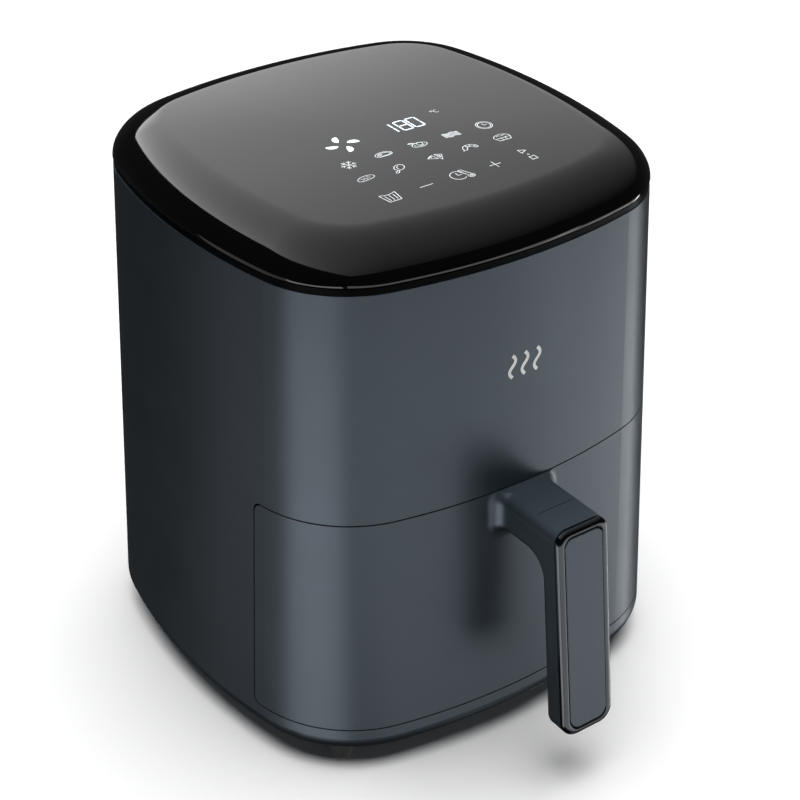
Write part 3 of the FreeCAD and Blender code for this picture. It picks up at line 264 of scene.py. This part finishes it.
def brushed_group():
    """Fine straight scratches from rolling or brushing, drawn out along one axis."""
    group = new_group(
        "brushed_lines",
        [("Lines per m", 3000.0), ("Depth mm", 0.006), ("Gloss", 0.3), ("Gloss spread", 0.08)],
        [("Normal", "NodeSocketVector"), ("Roughness", "NodeSocketFloat"), ("Mask", "NodeSocketFloat")])
    n = Nodes(group)
    given = n.add("NodeGroupInput").outputs
    place = n.add("ShaderNodeTexCoord").outputs["Object"]
    drawn = n.add("ShaderNodeMapping", {"Vector": place, "Scale": (0.02, 1.0, 1.0)}).outputs["Vector"]
    lines = n.noise(drawn, given["Lines per m"], detail=3.0, roughness=0.7)
    cloudy = n.noise(place, 30.0, detail=3.0)
    metres = n.math("MULTIPLY", given["Depth mm"], MM)
    bump = n.add("ShaderNodeBump", {"Height": lines, "Distance": metres})
    low = n.math("SUBTRACT", given["Gloss"], given["Gloss spread"])
    high = n.math("ADD", given["Gloss"], given["Gloss spread"])
    gloss = n.spread(lines, low, high, 0.3, 0.7)
    n.add("NodeGroupOutput", {"Normal": bump.outputs["Normal"], "Roughness": gloss, "Mask": cloudy})
    return group


surface_grain = grain_group()
settled_film = dust_group()
brushed_lines = brushed_group()


# ---------------------------------------------------------------- materials
def finish(name, color, tint, texture, values, plain=None, dust=0.12, marks=0.2):
    """One material: a texture group gives grain and gloss, and the film group adds dust and marks.

    color and tint are two near shades that the slow noise drifts between; plain holds the shader's own
    values.
    """
    material = bpy.data.materials.new(name)
    material.use_nodes = True
    n = Nodes(material.node_tree)
    shader = material.node_tree.nodes["Principled BSDF"]
    grain = n.add("ShaderNodeGroup", node_tree=texture)
    for key, value in values.items():
        grain.inputs[key].default_value = value
    film = n.add("ShaderNodeGroup", {"Amount": dust, "Marks": marks}, node_tree=settled_film)
    body = n.mix(n.spread(grain.outputs["Mask"], 0.0, 1.0, 0.3, 0.7), (*color, 1.0), (*tint, 1.0))
    dusty = n.mix(film.outputs["Dust"], body, (0.42, 0.41, 0.39, 1.0))
    n.put(shader, "Base Color", dusty)
    marked = n.math("ADD", grain.outputs["Roughness"], n.math("MULTIPLY", film.outputs["Smudge"], 0.12))
    rough = n.math("ADD", marked, n.math("MULTIPLY", film.outputs["Dust"], 0.5), clamp=True)
    n.put(shader, "Roughness", rough)
    n.put(shader, "Normal", grain.outputs["Normal"])
    for key, value in (plain or {}).items():
        shader.inputs[key].default_value = value
    return material


def grained(per_m, depth, gloss, spread=0.04):
    return {"Grain per m": per_m, "Depth mm": depth, "Gloss": gloss, "Gloss spread": spread}


def brushed(per_m, depth, gloss, spread=0.08):
    return {"Lines per m": per_m, "Depth mm": depth, "Gloss": gloss, "Gloss spread": spread}


def glowing_print(name, color, strength):
    """A print that glows, a little unevenly as through a thin printed mask: on the lid's legends the glow is
    their light from below; on the front mark it is painted light that makes the white print brighter.
    """
    material = bpy.data.materials.new(name)
    material.use_nodes = True
    n = Nodes(material.node_tree)
    shader = material.node_tree.nodes["Principled BSDF"]
    place = n.add("ShaderNodeTexCoord").outputs["Object"]
    uneven = n.noise(place, 180.0, detail=2.0)
    dimmer = tuple(c * 0.72 for c in color)
    light = n.mix(n.spread(uneven, 0.0, 1.0, 0.3, 0.7), (*dimmer, 1.0), (*color, 1.0))
    n.put(shader, "Emission Color", light)
    n.put(shader, "Base Color", light)
    shader.inputs["Emission Strength"].default_value = strength
    shader.inputs["Roughness"].default_value = 0.35
    return material


materials = {
    "shell_slate": finish(
        "slate_satin", (0.062, 0.082, 0.102), (0.068, 0.089, 0.110), surface_grain,
        grained(2600.0, 0.010, 0.36, 0.03), {"Metallic": 0.5}, marks=0.25),
    "insert_satin": finish(
        "insert_slate", (0.066, 0.084, 0.102), (0.072, 0.091, 0.110), surface_grain,
        grained(2600.0, 0.006, 0.32, 0.03), {"Metallic": 0.5}, marks=0.4),
    "lid_black": finish(
        "polished_black", (0.0008, 0.0008, 0.0009), (0.0012, 0.0012, 0.0013), surface_grain,
        grained(60.0, 0.002, 0.05, 0.02), {"IOR": 1.52}, dust=0.004, marks=0.25),
    "ring_black": finish(
        "ring_black", (0.0008, 0.0008, 0.0009), (0.0013, 0.0013, 0.0014), surface_grain,
        grained(1800.0, 0.01, 0.34), {"Specular IOR Level": 0.03}, dust=0.004, marks=0.1),
    "bezel_dark": finish(
        "smoked_metal", (0.040, 0.044, 0.048), (0.050, 0.054, 0.058), surface_grain,
        grained(900.0, 0.002, 0.14, 0.03), {"Metallic": 1.0, "Coat Weight": 0.4}, dust=0.0, marks=0.3),
    "black_plastic": finish(
        "textured_black", (0.016, 0.016, 0.017), (0.020, 0.020, 0.021), surface_grain,
        grained(1400.0, 0.035, 0.52, 0.05), dust=0.3),
    "black_rubber": finish(
        "soft_rubber", (0.012, 0.012, 0.012), (0.017, 0.017, 0.017), surface_grain,
        grained(3200.0, 0.02, 0.72, 0.06), {"Sheen Weight": 0.15}, dust=0.3),
    "coated_metal": finish(
        "baked_coating", (0.018, 0.018, 0.019), (0.026, 0.026, 0.028), surface_grain,
        grained(1900.0, 0.014, 0.33, 0.05), {"Metallic": 0.5}, marks=0.5),
    "sheet_steel": finish(
        "rolled_steel", (0.46, 0.46, 0.465), (0.56, 0.56, 0.565), brushed_lines,
        brushed(1600.0, 0.004, 0.30), {"Metallic": 1.0}, marks=0.5),
    "bare_steel": finish(
        "turned_steel", (0.54, 0.54, 0.55), (0.64, 0.64, 0.65), brushed_lines,
        brushed(2600.0, 0.003, 0.24), {"Metallic": 1.0}, marks=0.3),
    "fan_aluminium": finish(
        "pressed_aluminium", (0.62, 0.63, 0.64), (0.70, 0.71, 0.72), brushed_lines,
        brushed(2000.0, 0.004, 0.34), {"Metallic": 1.0}),
    "bearing_brass": finish(
        "sintered_brass", (0.52, 0.34, 0.12), (0.62, 0.43, 0.17), surface_grain,
        grained(4200.0, 0.01, 0.38), {"Metallic": 1.0}),
    "coil_copper": finish(
        "varnished_winding", (0.38, 0.13, 0.045), (0.52, 0.21, 0.08), brushed_lines,
        brushed(2200.0, 0.05, 0.3), {"Metallic": 0.8, "Coat Weight": 0.5}),
    "board_green": finish(
        "solder_mask", (0.010, 0.085, 0.030), (0.016, 0.115, 0.045), surface_grain,
        grained(900.0, 0.004, 0.28), {"Coat Weight": 0.3}),
    "display_smoke": finish(
        "smoked_window", (0.010, 0.010, 0.011), (0.014, 0.014, 0.015), surface_grain,
        grained(500.0, 0.002, 0.12)),
}
legend_white = glowing_print("legend_white", (0.78, 0.82, 0.84), 0.62)
digit_white = glowing_print("digit_white", (0.76, 0.88, 1.0), 1.0)
# The front mark's white print glows: painted light that makes it brighter than print lit by the lamps.
painted_glow_mark_white = glowing_print("pad_printed_white_painted_glow", (0.84, 0.84, 0.83), 0.45)


def dress_nodes():
    """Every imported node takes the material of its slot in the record."""
    slots = {row["node"]: row["material_slot"] for row in frame["record"]["subparts"]}
    for name, node in frame["nodes"].items():
        node.data.materials.clear()
        node.data.materials.append(materials[slots[name]])


dress_nodes()


# ---------------------------------------------------------------- lid
def make_lid():
    """The lid as one closed shell: a profile carried round the plan outline.

    Outside, the surface rises from the lower edge on a superellipse, width (1 - cos^(2/p) t) by
    height sin^(2/p) t, and then domes gently to the middle. Inside it follows a wall's thickness below.
    """
    arcs = outline_arcs(40, 28)
    t = np.linspace(0.0, 1.0, 44) * math.pi / 2
    power = 2 / lid_roll_power
    roll_in = lid_roll_width * (1 - np.cos(t) ** power)
    roll_in[-1] = lid_roll_width
    roll_up = lid_roll_height * np.sin(t) ** power
    edge = lid_edge_radius
    turn = np.linspace(-math.pi / 2, 0.0, 6)[:-1]
    lip_in = np.concatenate([[lid_wall - 0.1, lid_wall - 0.9], edge * (1 - np.cos(turn))])
    lip_up = np.concatenate([[1.0, 0.0], edge * (1 + np.sin(turn))])
    roll_up = edge + roll_up * (lid_roll_height - edge) / lid_roll_height
    shrink = np.linspace(1.0, 0.0, 26)[1:-1]
    inset = np.concatenate([lip_in, roll_in, np.full(len(shrink), lid_roll_width)])
    up = np.concatenate([lip_up, roll_up, np.full(len(shrink), lid_roll_height)])
    scale = np.concatenate([np.ones(len(lip_in) + len(roll_in)), shrink])

    def rings(inset, up, scale):
        flat = outline_points(arcs, inset) * scale[:, None, None]
        z = lid_base_z + up[:, None] + crown_at(flat[..., 0], flat[..., 1])
        return np.concatenate([flat, z[..., None]], axis=-1)

    outside = rings(inset, up, scale)
    inner_rows = slice(len(lip_in), None, 3)
    inside = rings(inset[inner_rows] + lid_wall, up[inner_rows] - lid_wall, scale[inner_rows])[::-1]
    points = np.concatenate([inside, outside])
    rows, columns = points.shape[:2]
    flat = points.reshape(-1, 3)
    top = [0.0, 0.0, lid_top_at(0.0, 0.0)]
    under = [0.0, 0.0, lid_top_at(0.0, 0.0) - lid_wall]
    everything = np.concatenate([flat, [under, top]])
    first, last = np.arange(columns), np.arange(columns) + (rows - 1) * columns
    faces = list(grid_faces(rows, columns, wrap_columns=True))
    faces += list(fan_faces(len(flat), first, flip=True))
    faces += list(fan_faces(len(flat) + 1, last))
    lid = mesh_piece("lid_dome", everything, faces, "housing", materials["lid_black"])
    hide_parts("lid")
    return lid


make_lid()


# ---------------------------------------------------------------- frame round the grip's front
grip_half = 17.0
grip_foot_z, grip_head_z = 33.5, 159.7
grip_lean = 0.118
grip_front_top_y, grip_top_z = -178.5, 160.5
bezel_depth, bezel_margin, bezel_crest = 3.6, 4.3, 3.0
bezel_upper_radius, bezel_lower_radius = 7.5, 9.0


def rounded_outline(inset, steps=16):
    """X and Z round the grip's front, moved in by inset; the upper corners are the tighter ones."""
    half, low, high = grip_half - inset, grip_foot_z + inset, grip_head_z - inset
    upper, lower = bezel_upper_radius - 0.6 * inset, bezel_lower_radius - 0.6 * inset
    corners = ((0, 1, high, upper), (90, -1, high, upper), (180, -1, low, lower), (270, 1, low, lower))
    x, z = [], []
    for turn, sx, end, radius in corners:
        a = np.radians(np.linspace(turn, turn + 90, steps))
        up = 1 if end == high else -1
        x.append(sx * (half - radius) + radius * np.cos(a))
        z.append(end - up * radius + radius * np.sin(a))
    return np.concatenate(x), np.concatenate(z)


def make_bezel():
    """The frame: a closed profile of inset and height off the grip's sloping front, carried round it.

    The profile has a shadow groove at its foot, a quarter ellipse from the outer edge up to the crest, and
    another down to the inner edge. At a place the surface lies at y = front plane(z) - height.
    """
    roll = np.radians(np.linspace(0.0, 90.0, 16))
    lip = np.radians(np.linspace(15.0, 90.0, 6))
    profile = [(0.7, 0.0), (0.7, 0.42), (0.12, 0.45), (0.0, 0.6)]
    rise, fall = 2.5, 0.8
    profile += [(bezel_crest * (1 - math.cos(a)), bezel_depth - rise * (1 - math.sin(a))) for a in roll]
    inner = bezel_margin - bezel_crest
    profile += [(bezel_crest + inner * math.sin(a), bezel_depth - fall * (1 - math.cos(a))) for a in lip]
    profile += [(bezel_margin, 0.0)]
    rows = []
    for inset, height in profile:
        x, z = rounded_outline(inset)
        front = grip_front_top_y - grip_lean * (grip_top_z - z)
        rows.append(np.stack([x, front - height, z], axis=-1))
    points = np.array(rows)
    faces = grid_faces(*points.shape[:2], wrap_columns=True, wrap_rows=True)
    bezel = mesh_piece("grip_frame", points.reshape(-1, 3), faces, "drawer", materials["bezel_dark"])
    bezel.data.set_sharp_from_angle(angle=math.radians(35.0))
    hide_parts("handle_bezel")
    return bezel


make_bezel()


# ---------------------------------------------------------------- legends drawn with strokes
def line(*points):
    """An open path through a few points."""
    return np.array(points, float), False


def loop(*points):
    """A closed path through a few points."""
    return np.array(points, float), True


def oval(x, y, rx, ry, start=0.0, end=360.0, tilt=0.0, steps=40):
    """Part or all of an ellipse: middle, half sizes, angles in degrees."""
    whole = abs(end - start) >= 360.0
    a = np.radians(np.linspace(start, end, steps, endpoint=not whole))
    u, v = rx * np.cos(a), ry * np.sin(a)
    c, s = math.cos(math.radians(tilt)), math.sin(math.radians(tilt))
    return np.stack([x + u * c - v * s, y + u * s + v * c], axis=-1), whole


def bean(x, y, rx, ry, dent, tilt=0.0, steps=48):
    """A closed ellipse pressed in on its lower side by a bell-shaped dent."""
    a = np.linspace(0.0, 2 * math.pi, steps, endpoint=False)
    u, v = rx * np.cos(a), ry * np.sin(a)
    v = v + dent * np.exp(-((a - 1.5 * math.pi) / 0.7) ** 2)
    c, s = math.cos(math.radians(tilt)), math.sin(math.radians(tilt))
    return np.stack([x + u * c - v * s, y + u * s + v * c], axis=-1), True


def wave(x0, x1, y, height, waves, steps=30):
    """An open sine wave from x0 to x1."""
    t = np.linspace(0.0, 1.0, steps)
    return np.stack([x0 + (x1 - x0) * t, y + height * np.sin(2 * math.pi * waves * t)], axis=-1), False


def ribbon(path, width):
    """Points and quads of a flat line: each path point moved half a width to both sides of the path."""
    points, closed = path
    if closed:
        ahead, behind = np.roll(points, -1, axis=0), np.roll(points, 1, axis=0)
        step_in, step_out = points - behind, ahead - points
    else:
        steps = np.diff(points, axis=0)
        step_in, step_out = np.concatenate([steps[:1], steps]), np.concatenate([steps, steps[-1:]])
    step_in /= np.linalg.norm(step_in, axis=1)[:, None]
    step_out /= np.linalg.norm(step_out, axis=1)[:, None]
    along = step_in + step_out
    along /= np.linalg.norm(along, axis=1)[:, None]
    side = np.stack([-along[:, 1], along[:, 0]], axis=-1)
    mitre = np.clip(np.sum(along * step_out, axis=1), 0.45, 1.0)
    half = side * (width / 2 / mitre)[:, None]
    rows = np.stack([points - half, points + half], axis=1)
    return rows.reshape(-1, 2), grid_faces(len(points), 2, wrap_rows=closed)


def filled(path):
    """Points and triangles of a closed path filled from its middle."""
    points, _ = path
    everything = np.concatenate([points, [points.mean(axis=0)]])
    return everything, fan_faces(len(points), np.arange(len(points)))


def joined(shapes):
    """Several flat shapes as one list of points and one list of faces."""
    points, faces, count = [], [], 0
    for flat, own in shapes:
        points.append(flat)
        faces += [list(np.asarray(f) + count) for f in own]
        count += len(flat)
    return np.concatenate(points), faces


def drawing(name, strokes, fills, place, material, scale=1.0):
    """One legend on the lid: strokes and filled shapes about a place, laid just above the lid's surface."""
    shapes = [ribbon((path * scale, closed), stroke_width) for path, closed in strokes]
    shapes += [filled((path * scale, closed)) for path, closed in fills]
    flat, faces = joined(shapes)
    flat = flat + np.array(place)
    z = lid_top_at(flat[:, 0], flat[:, 1]) + legend_lift
    whole = np.concatenate([flat, z[:, None]], axis=-1)
    piece = mesh_piece(name, whole, faces, "housing", material, smooth=False)
    turn_up(piece)
    return piece


def turn_up(piece):
    """Turns every face of a flat legend to look up."""
    mesh = piece.data
    normals = np.empty(len(mesh.polygons) * 3)
    mesh.polygons.foreach_get("normal", normals)
    down = np.flatnonzero(normals.reshape(-1, 3)[:, 2] < 0)
    for index in down:
        mesh.polygons[int(index)].flip()
    mesh.update()


key_pitch = 21.7
key_rows = ((-2.4, -76.5), (-1.0, -53.0), (0.4, -35.4))
key_scale = 0.87


def key(column, row):
    shift, y = key_rows[row]
    return column * key_pitch + shift, y


def fries_cup():
    cup = [line((-5.4, 4.4), (-4.0, -5.2), (4.0, -5.2), (5.4, 4.4)), wave(-5.4, 5.4, 4.4, -1.3, 0.5)]
    sticks = [line((x * 1.15, 2.2), (x, -4.0)) for x in (-2.4, 0.0, 2.4)]
    return cup + sticks


def clock_hands(x, y, size):
    return [line((x, y + size * 0.62), (x, y), (x + size * 0.5, y))]


def clock_and_thermometer():
    clock = [oval(-1.8, 0.3, 5.0, 5.0, 20.0, 312.0)] + clock_hands(-1.8, 0.3, 5.0)
    bulb = [oval(5.0, -3.4, 2.1, 2.1, -215.0, 60.0),
            line((3.6, -1.8), (1.2, 3.6)), line((6.1, -1.6), (3.7, 4.6)),
            oval(2.45, 4.2, 1.35, 1.3, 0.0, 200.0), oval(5.0, -3.4, 0.9, 0.9)]
    return clock + bulb


def drumstick():
    return [oval(-1.0, 0.9, 3.9, 3.0, tilt=35.0), oval(-0.4, 1.2, 2.4, 1.6, 60.0, 200.0, tilt=35.0),
            line((-3.6, -1.6), (-5.0, -3.2)), line((-2.6, -2.0), (-4.1, -4.0)),
            oval(-5.3, -3.9, 1.2, 0.9, 60.0, 330.0, tilt=40.0)]


def carrot_and_slice():
    return [loop((-5.4, 0.6), (-1.2, 3.0), (0.2, -2.6)), oval(-3.0, 1.6, 0.9, 0.6),
            loop((1.2, 3.4), (5.2, 1.4), (1.9, -4.4)), line((2.2, 1.9), (2.6, -1.4)),
            line((3.6, 1.4), (2.9, -1.0))]


def prawn():
    return [oval(0.0, -0.6, 5.0, 3.6, 10.0, 190.0), oval(0.4, -1.2, 2.7, 1.8, 10.0, 190.0),
            line((-5.0, -1.2), (-6.2, -2.8), (-3.6, -2.6), (-2.3, -1.5)), oval(3.9, -1.2, 1.3, 1.2),
            line((1.6, 2.5), (1.0, 0.6)), line((-1.6, 2.7), (-1.0, 0.7))]


def bun():
    return [oval(0.0, 0.6, 5.6, 3.6, -10.0, 190.0), line((-5.5, 0.1), (-4.2, -3.6), (4.2, -3.6), (5.5, 0.1)),
            line((-4.6, -0.4), (4.6, -0.4)), line((-1.6, -0.6), (-1.2, -3.4)), line((1.6, -0.6), (1.2, -3.4)),
            oval(-1.6, 2.0, 1.3, 0.8, 20.0, 170.0), oval(1.9, 1.7, 1.3, 0.8, 20.0, 170.0)]


def snowflake():
    strokes = []
    for turn in np.radians(np.arange(0, 360, 60)):
        c, s = math.cos(turn), math.sin(turn)
        spin = np.array([[c, s], [-s, c]])
        arm = [[(0.0, 0.0), (5.2, 0.0)], [(2.6, 0.0), (4.2, 1.5)], [(2.6, 0.0), (4.2, -1.5)]]
        strokes += [(np.array(p, float) @ spin, False) for p in arm]
    return strokes


def fish_fillet():
    return [bean(0.0, 0.0, 6.0, 2.9, 0.8, tilt=8.0),
            line((-3.4, 0.6), (-1.6, -1.2)), line((-1.2, 1.2), (0.8, -0.8)), line((1.2, 1.7), (3.0, -0.2))]


def steak():
    return [bean(0.0, 0.0, 5.8, 3.2, 0.9), bean(0.1, -0.1, 4.5, 2.1, 0.6), oval(-2.2, 0.4, 1.0, 0.7)]


def dish_with_leaf():
    return [oval(0.6, -1.0, 5.2, 2.9), oval(1.4, 0.2, 1.9, 1.9), line((-1.0, 2.2), (-4.6, 3.4)),
            oval(-3.2, 2.6, 2.0, 0.9, tilt=-18.0), oval(0.6, -1.0, 3.4, 1.6, 150.0, 330.0)]


def rasher():
    return [wave(-5.6, 5.6, y, 0.45, 2.0) for y in np.arange(-2.6, 2.7, 0.87)]


def round_clock():
    return [oval(0.0, 0.0, 5.2, 5.2), oval(0.0, 0.0, 4.1, 4.1), *clock_hands(0.0, 0.0, 4.1)]


def start_and_stop():
    return [loop((-2.3, 7.6), (-2.3, 3.0), (2.0, 5.3)),
            loop((-1.9, -3.0), (-1.9, -6.8), (1.9, -6.8), (1.9, -3.0)), oval(0.0, 0.0, 0.45, 0.45)]


def blade(turn, reach=6.6, half_length=3.4, bulge=2.7):
    """A fan blade: one side bulges as a half ellipse, the other is nearly straight."""
    a = np.linspace(0.0, 2 * math.pi, 36, endpoint=False)
    u = half_length * np.cos(a)
    v = np.where(np.sin(a) > 0, bulge, 0.75) * np.sin(a) - 0.7
    twist, spin = math.radians(turn - 21.0), math.radians(turn)
    x = reach * math.cos(spin) + u * math.cos(twist) - v * math.sin(twist)
    y = reach * math.sin(spin) + u * math.sin(twist) + v * math.cos(twist)
    return np.stack([x, y], axis=-1), True


def fan_blades():
    return [blade(turn) for turn in (0.0, 90.0, 180.0, 270.0)]


def segment(x0, y0, x1, y1, thick):
    """One bar of a digit: a line with pointed ends, as a closed path."""
    a, b = np.array([x0, y0]), np.array([x1, y1])
    u = (b - a) / np.linalg.norm(b - a)
    v = np.array([-u[1], u[0]]) * thick / 2
    tip = u * thick * 0.3
    return loop(a, a + tip + v, b - tip + v, b, b - tip - v, a + tip - v)


def digit(x, y, bars, width=5.9, height=11.6, thick=0.95, space=0.2):
    """The lit bars of one seven-bar digit, from its lower left corner."""
    m, top, right = y + height / 2, y + height, x + width
    ends = {
        "top": (x + space, top, right - space, top), "middle": (x + space, m, right - space, m),
        "low": (x + space, y, right - space, y), "upper_left": (x, top - space, x, m + space),
        "lower_left": (x, m - space, x, y + space), "upper_right": (right, top - space, right, m + space),
        "lower_right": (right, m - space, right, y + space),
    }
    return [segment(*ends[bar], thick) for bar in bars]


def temperature():
    """The number 180 in seven-bar digits."""
    right = ["upper_right", "lower_right"]
    rim = ["top", "low", "upper_left", "lower_left", *right]
    low = -10.8
    return digit(-4.3, low, right) + digit(5.0, low, rim + ["middle"]) + digit(12.6, low, rim)


def degrees_celsius():
    return [oval(-1.9, 1.2, 0.75, 0.75), oval(1.2, 0.0, 1.5, 1.9, 50.0, 310.0)]


legend_sets = {
    "legend_fries": (fries_cup(), key(-2, 0)), "legend_less": ([line((-4.6, 0), (4.6, 0))], key(-1, 0)),
    "legend_time_heat": (clock_and_thermometer(), key(0, 0)),
    "legend_more": ([line((-4.1, 0), (4.1, 0)), line((0, -4.1), (0, 4.1))], key(1, 0)),
    "legend_start_stop": (start_and_stop(), key(2, 0)), "legend_fish": (fish_fillet(), key(-2, 1)),
    "legend_poultry": (drumstick(), key(-1, 1)), "legend_vegetables": (carrot_and_slice(), key(0, 1)),
    "legend_prawn": (prawn(), key(1, 1)), "legend_baking": (bun(), key(2, 1)),
    "legend_frozen": (snowflake(), key(-2, 2)), "legend_steak": (steak(), key(-1, 2)),
    "legend_dish": (dish_with_leaf(), key(0, 2)), "legend_rasher": (rasher(), key(1, 2)),
    "legend_clock": (round_clock(), key(2, 2)), "legend_degrees": (degrees_celsius(), (32.6, -6.1)),
}
for legend, (strokes, place) in legend_sets.items():
    drawing(legend, strokes, [], place, legend_white, key_scale)
drawing("legend_fan", [], fan_blades(), (-31.8, -13.2), digit_white)
drawing("legend_temperature", [], temperature(), (0.0, -6.6), digit_white)


# ---------------------------------------------------------------- printed mark on the front
def front_wall_point(x, z, lift):
    """A point on the front wall: the front arc grows outwards going down; lift moves it off the wall."""
    grow = wall_draft * (shell_top_z - z)
    arc = front_arc + grow
    middle = front_arc - lid_half_depth
    angle = np.arcsin(x / arc)
    reach = arc + lift
    return np.stack([reach * np.sin(angle), middle - reach * np.cos(angle), z], axis=-1)


def make_mark():
    """Three rising waves of warm air, printed in white on the front; the print also glows a little, which is
    painted light.
    """
    middle_z, spacing, half_height, sway, thick = 231.5, 8.0, 6.4, 1.9, 1.9
    t = np.linspace(-1.0, 1.0, 40)
    paths = [np.stack([offset + sway * np.sin(t * math.pi), half_height * t], axis=-1)
             for offset in (-spacing, 0.0, spacing)]
    flat, faces = joined([ribbon((path, False), thick) for path in paths])
    whole = front_wall_point(flat[:, 0], middle_z + flat[:, 1], mark_lift)
    return mesh_piece("front_mark", whole, faces, "housing", painted_glow_mark_white, smooth=False)


make_mark()


# ---------------------------------------------------------------- floor, light and camera
def stage_material():
    material = bpy.data.materials.new("paper_white")
    material.use_nodes = True
    n = Nodes(material.node_tree)
    shader = material.node_tree.nodes["Principled BSDF"]
    place = n.add("ShaderNodeTexCoord").outputs["Object"]
    tone = n.spread(n.noise(place, 3.0), 0.0, 1.0, 0.3, 0.7)
    n.put(shader, "Base Color", n.mix(tone, (0.88, 0.88, 0.88, 1.0), (0.9, 0.9, 0.9, 1.0)))
    shader.inputs["Roughness"].default_value = 0.9
    shader.inputs["Specular IOR Level"].default_value = 0.1
    return material


def only_seen_by(piece, camera=False, diffuse=False, glossy=False):
    """Which rays meet a stage piece or a light; a stage piece casts no shadow."""
    piece.visible_camera = camera
    piece.visible_diffuse = diffuse
    piece.visible_glossy = glossy
    piece.visible_transmission = camera
    if piece.type == "MESH":
        piece.visible_shadow = False


def stage_piece(name, outline, material):
    """A flat polygon that belongs to the studio; its outline is in metres."""
    mesh = bpy.data.meshes.new(name)
    mesh.from_pydata([tuple(map(float, point)) for point in outline], [], [tuple(range(len(outline)))])
    piece = bpy.data.objects.new(name, mesh)
    bpy.context.scene.collection.objects.link(piece)
    piece.data.materials.append(material)
    return piece


def make_floor():
    """A pale floor, left out of reflections and of bounced light."""
    half = 20.0
    corners = [(-half, -half, 0), (half, -half, 0), (half, half, 0), (-half, half, 0)]
    floor = stage_piece("floor", corners, stage_material())
    only_seen_by(floor, camera=True)


ceiling_height = 4.3
ceiling_glow = 0.65
ceiling_growth = (-0.15, 0.18, 0.0)


def ceiling_material():
    """Light on the ceiling sheet that grows towards the back left: glow exp(growth . place), in metres."""
    material = bpy.data.materials.new("ceiling_glow")
    material.use_nodes = True
    n = Nodes(material.node_tree)
    material.node_tree.nodes.remove(material.node_tree.nodes["Principled BSDF"])
    place = n.add("ShaderNodeTexCoord").outputs["Object"]
    toward = n.add("ShaderNodeVectorMath", {0: place, 1: ceiling_growth}, operation="DOT_PRODUCT")
    rising = n.math("EXPONENT", toward.outputs["Value"])
    glow = n.add("ShaderNodeEmission", {"Strength": n.math("MULTIPLY", rising, ceiling_glow)})
    n.put(material.node_tree.nodes["Material Output"], "Surface", glow.outputs[0])
    return material


def make_ceiling():
    """The reflection sheet overhead: a quarter ellipse at the back left, straight on the other sides."""
    t = np.radians(np.linspace(0.0, 90.0, 40))
    curve = np.stack([4.4 - 8.8 * np.cos(t), -0.8 + 12.4 * np.sin(t)], axis=-1)
    rest = np.array([[14.0, 14.5], [16.0, -7.0], [-4.4, -7.0]])
    flat = np.concatenate([curve, rest])
    outline = np.concatenate([flat, np.full((len(flat), 1), ceiling_height)], axis=1)
    only_seen_by(stage_piece("ceiling", outline, ceiling_material()), glossy=True)


def add_light(name, kind):
    """A light of a kind, with its data."""
    data = bpy.data.lights.new(name, kind)
    light = bpy.data.objects.new(name, data)
    bpy.context.scene.collection.objects.link(light)
    return light, data


def overhead_light(strength, spread_degrees, direction):
    """Soft light from above for the floor and the diffuse part of everything, equally strong everywhere."""
    light, data = add_light("overhead", "SUN")
    data.energy = strength
    data.angle = math.radians(spread_degrees)
    light.rotation_euler = Vector(direction).to_track_quat("Z", "Y").to_euler()
    only_seen_by(light, diffuse=True)


def low_card(name, glow, azimuth, distance, width, low, high):
    """An upright card below the horizon, where the walls mirror it: degrees from +X, lengths in metres."""
    a = math.radians(azimuth)
    height = high - low
    middle = (low + high) / 2
    place = Vector((distance * math.cos(a), distance * math.sin(a), middle))
    light, data = add_light(name, "AREA")
    data.shape = "RECTANGLE"
    data.size, data.size_y = width, height
    data.energy = glow * math.pi * width * height
    light.location = place
    light.rotation_euler = (Vector((0.0, 0.0, middle)) - place).to_track_quat("-Z", "Y").to_euler()
    only_seen_by(light, glossy=True)


# name: glow, azimuth, distance, width, bottom, top
low_cards = {
    "card_left": (2.55, 205.0, 1.2, 1.12, -0.95, -0.1),
    "card_front": (1.35, 276.0, 1.3, 2.3, -0.95, -0.1),
    "card_right": (1.35, 331.0, 1.3, 0.9, -0.95, -0.1),
    "card_right_strip": (6.5, 347.0, 1.3, 0.12, -0.95, -0.1),
    "card_shade_side": (0.42, 160.0, 1.4, 1.2, -1.0, -0.05),
    "card_under": (0.8, 306.0, 0.8, 0.35, -1.35, -1.0),
    "card_beyond": (3.0, 47.0, 1.0, 0.5, -1.15, -0.75),
}
overhead_strength, overhead_angle, overhead_direction = 4.2, 60.0, (0.15, 0.15, 2.6)
world_strength = 0.03


def make_world():
    """Faint even light, so that nothing is pitch black."""
    world = bpy.data.worlds.new("studio")
    bpy.context.scene.world = world
    world.use_nodes = True
    background = world.node_tree.nodes["Background"]
    background.inputs["Color"].default_value = (1.0, 1.0, 1.0, 1.0)
    background.inputs["Strength"].default_value = world_strength


camera_azimuth, camera_elevation, camera_roll = -35.57, 31.96, 0.146
camera_distance = 1.0902
camera_target = Vector((-0.0003, -0.0210, 0.1535))
camera_lens = 86.02


def make_camera():
    data = bpy.data.cameras.new("camera")
    data.lens = camera_lens
    data.sensor_width = 36.0
    camera = bpy.data.objects.new("camera", data)
    bpy.context.scene.collection.objects.link(camera)
    a, e = math.radians(camera_azimuth), math.radians(camera_elevation)
    back = Vector((math.sin(a) * math.cos(e), -math.cos(a) * math.cos(e), math.sin(e)))
    turn = (-back).to_track_quat("-Z", "Y").to_matrix().to_4x4()
    roll = Matrix.Rotation(math.radians(camera_roll), 4, "Z")
    camera.matrix_world = Matrix.Translation(camera_target + back * camera_distance) @ turn @ roll
    bpy.context.scene.camera = camera


make_floor()
make_world()
make_ceiling()
overhead_light(overhead_strength, overhead_angle, overhead_direction)
for card, setting in low_cards.items():
    low_card(card, *setting)
bpy.context.scene.view_settings.view_transform = "Standard"
make_camera()
